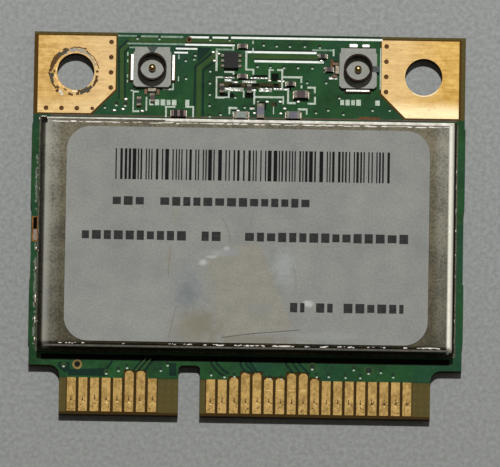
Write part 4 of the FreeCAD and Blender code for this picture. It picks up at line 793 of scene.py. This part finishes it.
class CARD_OT_wiring(bpy.types.Operator):
    """Draws the copper traces, their gaps and the vias under the lacquer, with painted shade and highlights at the vias
    """

    bl_idname = "card.wiring"
    bl_label = "Draw the wiring"

    def execute(self, context):
        sizes = context.scene.card_sizes
        open_piece("copper_gaps")
        for line in CLEARANCES:
            ribbon(line, sizes.trace_gap, MASK_TOP, 0.004)
        for number, outline in enumerate(DARK_LAYERS):
            convex_sheet(outline, MASK_TOP, 0.002 + 0.0004 * number)
        close_piece(lacquer_finish("Green resist in a copper gap", "#0c2f22", "#071f17", "#16382a", "#06291f"))
        open_piece("copper_traces")
        for line in PALE_TRACES:
            ribbon(line, 0.28 if line[0][1] > 0 else 0.12, MASK_TOP, 0.006)
        for x, y, radius in RINGED_VIAS:
            disc(x, y, radius + 0.03, MASK_TOP, 0.007, 18)
        close_piece(lacquer_finish("Green resist on a trace", "#3a5424", "#2c4a20", "#4a5f3c", "#2c4a22"))
        open_piece("via_wells")
        # Dark drops set up the board from each via: its sunk lacquer, with painted shade on the upper wall of its
        # hollow.
        for x, y in VIAS:
            drop(x, y + 0.11, sizes.via_radius * 2.3, sizes.via_radius * 1.9, 0.010, MASK_TOP)
        for x, y, radius in RINGED_VIAS:
            disc(x, y, radius - 0.04, MASK_TOP, 0.009, 16)
        close_piece(plain_finish("Via's sunk lacquer and painted shade", "#16301a", "#0d2012", 0.7, 0.2, ior=1.3))
        open_piece("via_painted_highlights")
        # Painted highlight: a pale drop on the lower side of each via's hollow.
        for x, y in VIAS:
            lower = 0.12 if y < 0 else 0.02
            drop(x + 0.03, y - lower, 0.17, 0.12, 0.016, MASK_TOP)
        for x, y, radius in RINGED_VIAS:
            drop(x - 0.02, y - radius * 0.8, 0.2, 0.14, 0.022, MASK_TOP)
        close_piece(plain_finish("Painted highlight at a via", "#c6d2c2", "#8fa68f", 0.55, 0.15))
        open_piece("test_point")
        disc(-11.62, -9.95, 0.34, MASK_TOP, 0.010, 24)
        close_piece(gilding_finish("Copper land, tinned brown", "#8d7c4e", "#5f5232"))
        open_piece("test_point_hole")
        disc(-11.62, -9.93, 0.20, MASK_TOP, 0.013, 20)
        disc(*OPEN_VIA, 0.11, MASK_TOP, 0.016, 16)
        close_piece(plain_finish("Open via, unlit", "#0c0c0a", "#060605", 0.8, 0.2, ior=1.3))
        open_piece("pad_via_walls")
        for x, y in PAD_VIAS:
            disc(x, y, PAD_VIA_RADIUS, MASK_TOP - 0.15, 0.11, 16)
        close_piece(plain_finish("Resin in a plated via, brown", "#6a4310", "#4a2c08", 0.7, 0.1, ior=1.3))
        return {"FINISHED"}


class CARD_OT_print(bpy.types.Operator):
    """Prints the white lines around the parts of the open strip, draws what lies between its lands, and paints
    highlights and shade there and behind the can
    """

    bl_idname = "card.print"
    bl_label = "Print the board"

    def execute(self, context):
        thickness = context.scene.card_sizes.print_thickness
        screen = plain_finish("White screen ink, dulled", "#c9d2c4", "#97a996", 0.65, 0.18)
        open_piece("board_print")
        for x, y, length, width in PRINTED_LINES:
            # Lines up the board are a hair thicker, so that no two faces share a plane.
            rise = 0.002 if width > length else 0.0
            strip(x, y, length, width, MASK_TOP, thickness + rise)
        close_piece(screen)
        random.seed(11)
        open_piece("board_fields")
        for field in BOARD_FIELDS:
            blocks(field, 0.32, 0.10, MASK_TOP, thickness)
        close_piece(screen)
        # Painted highlights along the grooves in the lacquer.
        flat_piece("groove_painted_highlights", plain_finish("Painted highlight on a groove's edge", "#f4f8f2", "#d3ddcf", 0.5, 0.3),
                   PAINTED_GROOVE_HIGHLIGHTS, MASK_TOP, 0.010)
        flat_piece("groove_painted_dull_highlights",
                   plain_finish("Painted dull highlight on a groove's edge", "#8ea892", "#3f6349", 0.6, 0.25),
                   PAINTED_DULL_HIGHLIGHTS, MASK_TOP, 0.009)
        # Painted shade: a dark line just up the board from each painted groove highlight and each long land.
        shades = [(x, y + width / 2 + 0.05, length, 0.10) for x, y, length, width in PAINTED_GROOVE_HIGHLIGHTS + BRIGHT_LANDS]
        flat_piece("groove_painted_shade",
                   plain_finish("Painted shade beside grooves and lands", "#14231a", "#0c150e", 0.8, 0.2, ior=1.3),
                   shades, MASK_TOP, 0.007)
        flat_piece("bare_gaps",
                   plain_finish("Laminate between lands, stained", "#4d4622", "#0f110c", 0.8, 0.35, ior=1.3),
                   BARE_GAPS, MASK_TOP, 0.005)
        # Black between the lands, partly painted shade.
        flat_piece("black_runs_and_painted_shade", plain_finish("Black between lands, painted shade above long lands", "#161c14", "#0b0f0a", 0.85, 0.2, ior=1.15),
                   DARK_AND_SHADE_RUNS, MASK_TOP, 0.008)
        open_piece("long_lands")
        for x, y, length, width in BRIGHT_LANDS:
            strip(x, y, length, width, MASK_TOP, 0.018)
        soften(0.008)
        close_piece(plain_finish("Tin solder on long lands, dulled", "#a4a99e", "#757b70", 0.6, 0.12))
        random.seed(19)
        open_piece("bright_lands")
        for x, y, length, width in BRIGHT_LANDS:
            for spot in range(round(length * width * 50)):
                drop(x + random.uniform(-0.5, 0.5) * (length - 0.15), y + random.uniform(-0.5, 0.5) * (width - 0.07),
                     random.uniform(0.12, 0.32), random.uniform(0.07, 0.12), 0.03, MASK_TOP)
        close_piece(solder_finish("Tin solder on long lands", "#d6d8d0", "#a3a597"))
        open_piece("bare_copper")
        disc(*OPEN_VIA, 0.21, MASK_TOP, 0.012, 20)
        strip(8.35, 7.64, 1.5, 0.17, MASK_TOP, 0.010)
        strip(5.72, 11.45, 0.22, 0.55, MASK_TOP, 0.012)
        close_piece(plain_finish("Bare copper, oxidised", "#74502a", "#49301a", 0.75, 0.2, ior=1.3))
        # Painted shade: a brown line on the board just behind the can's back wall.
        flat_piece("painted_shade_behind_can", plain_finish("Painted shade along the solder track, brown", "#5b4030", "#3a2c20", 0.7, 0.4),
                   [(0.35, 7.53, 28.3, 0.10)], MASK_TOP, 0.006)
        return {"FINISHED"}


class CARD_OT_solder(bpy.types.Operator):
    """Adds the solder and flux at the chips, the sockets and the shield can, the sockets' small forms, and painted
    shadow and shade at the can
    """

    bl_idname = "card.solder"
    bl_label = "Add the solder"

    def execute(self, context):
        bright = solder_finish("Solder fillets", "#dbd9d0", "#a5a296")
        open_piece("solder_spots")
        for x, y in SOLDER_SPOTS:
            drop(x, y, 0.32, 0.23, 0.07, MASK_TOP)
        for x, y in SWITCH_FILLETS:
            drop(x, y, 0.27, 0.24, top("antenna_switch_leads") - MASK_TOP + 0.03, MASK_TOP)
        close_piece(bright)
        sockets = {side: corners(f"antenna_socket_{side}_insulator") for side in ("left", "right")}
        open_piece("socket_solder")
        for side, (low, high) in sockets.items():
            middle = (low + high) / 2
            for x, y, length, width, thickness in SOCKET_SOLDER[side]:
                strip(middle.x + x, middle.y + y, length, width, MASK_TOP, thickness)
        soften(0.07, 3)
        close_piece(bright)
        coil_top = top("antenna_strip_inductors")
        flat_piece("left_coil_core", plain_finish("Ferrite of a wound coil", "#2a2626", "#161413", 0.7, 0.12, ior=1.3),
                   [(-4.90, 7.72, 1.0, 0.5)], coil_top, 0.012)
        turns = [(x, 7.72, width, 0.42) for x, width in ((-5.28, 0.09), (-4.90, 0.16), (-4.50, 0.09))]
        flat_piece("left_coil_wire", plain_finish("Enamelled wire, brown", "#8a6f60", "#4b3a33", 0.6, 0.12),
                   turns, coil_top, 0.02)
        flat_piece("match_capacitor_face", plain_finish("Ceramic, glazed grey", "#8b978d", "#68736b", 0.6, 0.15),
                   [(-0.55, 7.68, 0.60, 0.42)], top("antenna_strip_capacitors"), 0.01)
        open_piece("signal_tab_solder")
        strip(-6.78, 9.40, 0.62, 0.34, MASK_TOP, 0.22)
        strip(-6.78, 9.02, 0.36, 0.30, MASK_TOP, 0.12)
        strip(6.08, 10.98, 0.32, 0.62, MASK_TOP, 0.22)
        soften(0.05)
        close_piece(solder_finish("Solder on a signal tab", "#a39a8a", "#57503f", 0.6))
        open_piece("signal_tab_sides")
        for bar in TAB_SIDES:
            strip(*bar, MASK_TOP, 0.10)
        soften(0.03)
        close_piece(plain_finish("Copper beside a tab, brown", "#7d5636", "#4a321d", 0.6, 0.2))
        open_piece("socket_ledges")
        for low, high in sockets.values():
            strip((low.x + high.x) / 2, high.y + 0.06, 2.44, 0.30, MASK_TOP, SOCKET_BASE_TOP - MASK_TOP)
        soften(0.02)
        close_piece(NODES["antenna_socket_left_insulator"].data.materials[0])
        open_piece("socket_key")
        strip(8.76, 11.04, 0.50, 0.44, 1.33, 0.085)
        soften(0.03)
        convex_sheet([(-7.06, 12.38), (-6.86, 12.02), (-6.70, 12.02), (-6.50, 12.38)], SOCKET_BASE_TOP, 0.008)
        close_piece(plain_finish("Polymer key, shaded", "#515956", "#3b4240", 0.7, 0.2, ior=1.3))
        random.seed(7)
        open_piece("can_solder")
        for x in (COVER_LOW.x - 0.02, COVER_HIGH.x + 0.02):
            for step in range(9):
                y = -8.2 + step * 1.55 + random.uniform(-0.4, 0.4)
                drop(x, y, random.uniform(0.10, 0.2), random.uniform(0.25, 0.7), 0.06, MASK_TOP)
        for x, y, length, width in CAN_DROPS:
            drop(x, y, length, width, 0.10, MASK_TOP)
        close_piece(solder_finish("Solder beside the can", "#b7b3a2", "#7c786a"))
        random.seed(23)
        open_piece("can_side_flux")
        for spot in range(90):
            y = random.uniform(-8.6, 4.8)
            if abs(y - SLOT_Y) > 1.1:
                drop(CAN_FOOT_X + random.uniform(-0.05, 0.05), y, random.uniform(0.10, 0.20),
                     random.uniform(0.12, 0.45), random.uniform(0.02, 0.05), MASK_TOP)
        close_piece(plain_finish("Flux and solder at the can's foot, dull", "#80867a", "#4b5346", 0.75, 0.12, ior=1.3))
        # Painted shadow: a black strip along the can's front foot, reaching past the cast shadow.
        flat_piece("can_front_painted_shadow",
                   plain_finish("Painted shadow at the can's front foot", "#15160f", "#0a0b07", 0.85, 0.2, ior=1.15),
                   [(0.0, -9.42, 28.3, 0.42)], MASK_TOP, 0.004)
        # Painted shade over the fence's corner, in the cover's open corner.
        flat_piece("open_corner_shade",
                   plain_finish("Painted shade in the open corner", "#1c1a15", "#0e0d0a", 0.8, 0.2, ior=1.2),
                   [(-14.18, 6.90, 0.46, 0.44)], top("shield_fence"), 0.008)
        return {"FINISHED"}


class CARD_OT_label_print(bpy.types.Operator):
    """Prints plain bars and blocks on the label, and draws its tear and its creases"""

    bl_idname = "card.label_print"
    bl_label = "Print the label"

    def execute(self, context):
        ink = context.scene.card_sizes.ink_thickness
        random.seed(21)
        open_piece("label_bars")
        x = BARS_START
        while x < BARS_END:
            width = random.choice((0.09, 0.09, 0.12, 0.17, 0.26))
            strip(x + width / 2, BARS_Y, width, BARS_HEIGHT, LABEL_TOP, ink)
            x += width + random.choice((0.10, 0.10, 0.14, 0.24))
        close_piece(plain_finish("Thermal print, black", "#191a19", "#0f100f", 0.8, 0.25, ior=1.2))
        open_piece("label_blocks")
        for field in LABEL_FIELDS:
            blocks(field, WORD_BLOCK, WORD_GAP, LABEL_TOP, ink)
        close_piece(plain_finish("Thermal print, worn", "#3a3b3a", "#262726", 0.8, 0.2, ior=1.2))
        # A darker line along the tear, and along each crease below.
        open_piece("label_tears")
        ribbon(TEAR, 0.06, LABEL_TOP, ink * 0.8)
        close_piece(plain_finish("Darker line along a tear", "#6d6b60", "#4b4940", 0.8, 0.2, ior=1.35))
        open_piece("label_creases")
        for width, line in CREASES:
            ribbon(line, width, LABEL_TOP, ink * 0.8)
        close_piece(plain_finish("Darker line along a crease", "#838277", "#605f55", 0.8, 0.12, ior=1.35))
        return {"FINISHED"}


class CARD_OT_wear(bpy.types.Operator):
    """Adds the wear of the contacts, pads and can's bends, painted highlights and reflection on rims and bends, and the
    plated slot beside the can
    """

    bl_idname = "card.wear"
    bl_label = "Add the wear"

    def execute(self, context):
        self.wear_contacts()
        self.wear_pads()
        self.bend_wear_and_painted_light()
        flat_piece("plated_slot", gilding_finish("Copper at the slot, brown", "#8a6238", "#5f4122"),
                   [(-14.74, SLOT_Y, 0.42, 1.78)], MASK_TOP, 0.012)
        flat_piece("plated_slot_well", plain_finish("Slot, unlit", "#0c0b08", "#050504", 0.9, 0.2, ior=1.1),
                   [(-14.72, -0.10, 0.26, 0.80)], MASK_TOP, 0.016)
        flat_piece("plated_slot_solder",
                   plain_finish("Solder in the slot, dull", "#a39287", "#6f625b", 0.7, 0.12, ior=1.3),
                   [(-14.72, -0.92, 0.24, 0.72)], MASK_TOP, 0.02)
        return {"FINISHED"}

    def wear_contacts(self):
        random.seed(4)
        open_piece("contact_nicks")
        for first, count in CONTACT_ROWS:
            for step in range(count):
                x = first + CONTACT_PITCH * step + random.uniform(-0.04, 0.04)
                y = NICK_Y + random.uniform(-0.05, 0.05)
                strip(x, y + 0.06, 0.05, 0.26, CONTACT_TOP, 0.004, random.uniform(-0.15, 0.15))
                strip(x, y - 0.09, 0.11, 0.10, CONTACT_TOP, 0.005)
                strip(x + 0.18, y - 0.19, 0.18, 0.035, CONTACT_TOP, 0.004)
                if step > 13:
                    strip(x + 0.12, -12.3, 0.24, 0.06, CONTACT_TOP, 0.006, random.uniform(0.5, 1.1))
                    strip(x - 0.02, -12.42, 0.26, 0.05, CONTACT_TOP, 0.007, random.uniform(-0.6, 0.2))
                for speck in range(3 if first == RIGHT_CONTACT else 2):
                    strip(x + random.uniform(-0.2, 0.2), SPECK_Y + random.uniform(-0.22, 0.14),
                          random.uniform(0.04, 0.1), random.uniform(0.03, 0.07), CONTACT_TOP, 0.003)
        close_piece(plain_finish("Copper bared in a nick", "#4f3512", "#35210a", 0.75, 0.1, ior=1.3))
        open_piece("contact_rubs")
        for first, count in CONTACT_ROWS:
            for step in range(count):
                x = first + CONTACT_PITCH * step + random.uniform(0.0, 0.08)
                size = 1.0 if first == LEFT_CONTACT and 3 <= step <= 6 else random.uniform(0.45, 0.75)
                drop(x, RUB_Y + random.uniform(-0.05, 0.05), 0.22 * size, 0.11 * size, 0.006, CONTACT_TOP)
        for step in (5, 6, 7, 8):
            drop(RIGHT_CONTACT + CONTACT_PITCH * step, -11.55, 0.46, 0.07, 0.006, CONTACT_TOP)
        close_piece(gilding_finish("Gold rubbed bright", "#e2ca8b", "#c0a262"))

    def wear_pads(self):
        scar_finishes = {
            "brown": plain_finish("Copper scored by a screw, brown", "#6b4c28", "#452e12", 0.75, 0.12, ior=1.3),
            "grey": plain_finish("Laminate scored by a screw, grey", "#5d584a", "#38342a", 0.75, 0.10, ior=1.3),
            "silver": plain_finish("Nickel scored by a screw", "#b0ab9c", "#7f7a6c", 0.6, 0.10, ior=1.4),
            # Painted glints on the scored metal.
            "bright": plain_finish("Painted glint on scored nickel", "#dfe6ea", "#b9bfc0", 0.5, 0.10),
            "rim": gilding_finish("Gold lifted at a rim", "#e6c894", "#c9a470"),
        }
        for kind, marks in SCARS.items():
            open_piece(f"hole_scars_{kind}")
            for radius, start, end, width in marks:
                while start < end:
                    stop = min(start + random.uniform(5, 10), end)
                    if end - stop < 3:
                        stop = end
                    arc(-HOLE_X, HOLE_Y, radius + random.uniform(-0.045, 0.045), start, stop,
                        width * random.uniform(0.6, 1.15), PAD_TOP, random.uniform(0.004, 0.014))
                    start = stop
            close_piece(scar_finishes[kind])
        open_piece("pad_via_stains")
        for x, y in PAD_VIAS[:-1]:
            arc(x, y, PAD_VIA_RADIUS + 0.003, 0, 360, 0.035, PAD_TOP, 0.004)
        close_piece(plain_finish("Copper at a via's mouth, brown", "#6a4a1a", "#4a320f", 0.8, 0.15, ior=1.3))
        # Painted highlights on the lit lower rims of the holes.
        open_piece("hole_rim_lit")
        arc(HOLE_X, HOLE_Y, 1.345, -125, -40, 0.06, PAD_TOP, 0.006)
        arc(HOLE_X, HOLE_Y, 1.37, -100, -55, 0.05, PAD_TOP, 0.008)
        arc(-HOLE_X, HOLE_Y, 1.40, -100, -80, 0.10, PAD_TOP, 0.006)
        close_piece(plain_finish("Gold at a rounded rim, lit", "#fff0c8", "#ecd196", 0.5, 0.2))

    def bend_wear_and_painted_light(self):
        open_piece("cover_bend_lit")
        # Painted highlights along the back bend.
        strip(1.8, BACK_BEND_Y, 24.8, 0.12, BACK_BEND_BASE, 0.135)
        bend_bar(4.1, COVER_HIGH.y - BEND_RADIUS * (1 - math.sin(BACK_SLOPE)), 19.8, -BACK_SLOPE)
        # Worn spots on the front bend, painted bright as highlights.
        for x, length in FRONT_BEND_WEAR_AND_HIGHLIGHTS:
            for spot in range(round(length / 0.13)):
                bead(x + random.uniform(-0.5, 0.5) * length, FRONT_BEND_Y + random.uniform(-0.05, 0.05),
                     random.uniform(0.12, 0.34), random.uniform(0.05, 0.11), 0.022, FRONT_BEND_BASE)
        bead(2.70, -8.71, 1.0, 0.13, 0.025, FRONT_BEND_BASE)
        bead(12.75, -8.68, 1.7, 0.10, 0.025, 2.870)
        # Painted highlight along the back edge of the lid's top.
        for spot in range(46):
            bead(-13.4 + 0.6 * spot + random.uniform(-0.25, 0.25), BACK_EDGE_HIGHLIGHT_Y + random.uniform(-0.03, 0.03),
                 random.uniform(0.3, 1.3), random.uniform(0.05, 0.11), 0.012, BACK_EDGE_HIGHLIGHT_BASE)
        close_piece(plain_finish("Tin on a bend, worn bright, with painted highlights", "#fffaf0", "#a9a396", 0.5, 0.7))
        # A dimmer painted highlight on the left end of the back bend.
        flat_piece("cover_bend_dim_highlight", plain_finish("Painted dim highlight on a bend", "#d8d2c6", "#98948a", 0.55, 0.25),
                   [(-12.3, BACK_BEND_Y, 3.4, 0.12)], BACK_BEND_BASE, 0.135)
        # Painted reflection: a grey band on the front bend.
        open_piece("cover_bend_painted_reflection")
        bend_bar(0, COVER_LOW.y + BEND_RADIUS * (1 - math.sin(FRONT_SLOPE)), 28.0, FRONT_SLOPE)
        close_piece(plain_finish("Painted grey reflection on a bend", "#8d897f", "#69655d", 0.6, 0.25))


class CARD_OT_stage(bpy.types.Operator):
    """Sets the floor, the light and the camera"""

    bl_idname = "card.stage"
    bl_label = "Set the stage"

    def execute(self, context):
        scene = context.scene
        stage = scene.card_stage
        bpy.ops.object.select_all(action="DESELECT")
        bpy.ops.mesh.primitive_plane_add(size=2.0, location=(0, 0, FLOOR_Z))
        floor = context.object
        floor.name = "floor"
        made, tree, shader, place = new_material("Plain grey card, matt", 0.9)
        fibre = noise(tree, place, 0.3, 3.0, 0.7)
        card = colours(tree, fibre, [(0.35, "#8a8c8a"), (0.5, written(scene.card_colours.mat)), (0.65, "#9da09e")])
        # Painted fall-off of the light: the card darkens towards the front.
        front = span(tree, separate(tree, place)[1], 14 * MM, -17 * MM)
        tree.links.new(tinted(tree, card, "#ecece9", front, "MULTIPLY"), shader.inputs["Base Color"])
        floor.data.materials.append(made)

        bpy.ops.object.light_add(type="SUN", rotation=KEY_TURN)
        key = context.object
        key.name = "key_light"
        key.data.energy = stage.key_strength
        key.data.angle = KEY_SPREAD
        bpy.ops.object.light_add(type="AREA", location=FILL_PLACE)
        fill = context.object
        fill.name = "side_light"
        fill.rotation_euler = (-Vector(FILL_PLACE)).to_track_quat("-Z", "Y").to_euler()
        fill.data.size = FILL_SIZE
        fill.data.energy = FILL_POWER

        world = bpy.data.worlds.new("Soft room")
        scene.world = world
        world.use_nodes = True
        back = world.node_tree.nodes["Background"]
        back.inputs["Color"].default_value = linear("#fdf5e8")
        back.inputs["Strength"].default_value = stage.sky_strength

        away = Vector((0, -math.sin(stage.tilt), math.cos(stage.tilt))) * stage.distance
        turn = Euler((stage.tilt, 0, 0)).to_matrix() @ Euler((0, 0, stage.roll)).to_matrix()
        bpy.ops.object.camera_add(location=Vector(AIM) + away, rotation=turn.to_euler())
        camera = context.object
        camera.name = "camera"
        camera.data.lens = camera.data.sensor_width * stage.distance / stage.width
        camera.data.clip_start = 0.01
        scene.camera = camera
        scene.view_settings.view_transform = "Standard"
        return {"FINISHED"}


OPERATORS = (CARD_OT_board, CARD_OT_shield, CARD_OT_sockets, CARD_OT_chips, CARD_OT_wiring, CARD_OT_print,
             CARD_OT_solder, CARD_OT_label_print, CARD_OT_wear, CARD_OT_stage)


class CARD_PT_panel(bpy.types.Panel):
    """Lists the steps in their order"""

    bl_label = "Network card"
    bl_space_type = "VIEW_3D"
    bl_region_type = "UI"
    bl_category = "Network card"

    def draw(self, context):
        for group in (context.scene.card_sizes, context.scene.card_colours, context.scene.card_stage):
            for name in group.__annotations__:
                self.layout.prop(group, name)
        for step in OPERATORS:
            self.layout.operator(step.bl_idname)


CLASSES = (CardSizes, CardColours, CardStage) + OPERATORS + (CARD_PT_panel,)


def register():
    for item in CLASSES:
        bpy.utils.register_class(item)
    bpy.types.Scene.card_sizes = bpy.props.PointerProperty(type=CardSizes)
    bpy.types.Scene.card_colours = bpy.props.PointerProperty(type=CardColours)
    bpy.types.Scene.card_stage = bpy.props.PointerProperty(type=CardStage)


def unregister():
    for name in ("card_sizes", "card_colours", "card_stage"):
        delattr(bpy.types.Scene, name)
    for item in reversed(CLASSES):
        bpy.utils.unregister_class(item)


def main():
    register()
    bpy.ops.card.board()
    bpy.ops.card.shield()
    bpy.ops.card.sockets()
    bpy.ops.card.chips()
    bpy.ops.card.wiring()
    bpy.ops.card.print()
    bpy.ops.card.solder()
    bpy.ops.card.label_print()
    bpy.ops.card.wear()
    bpy.ops.card.stage()


if __name__ == "__main__":
    main()
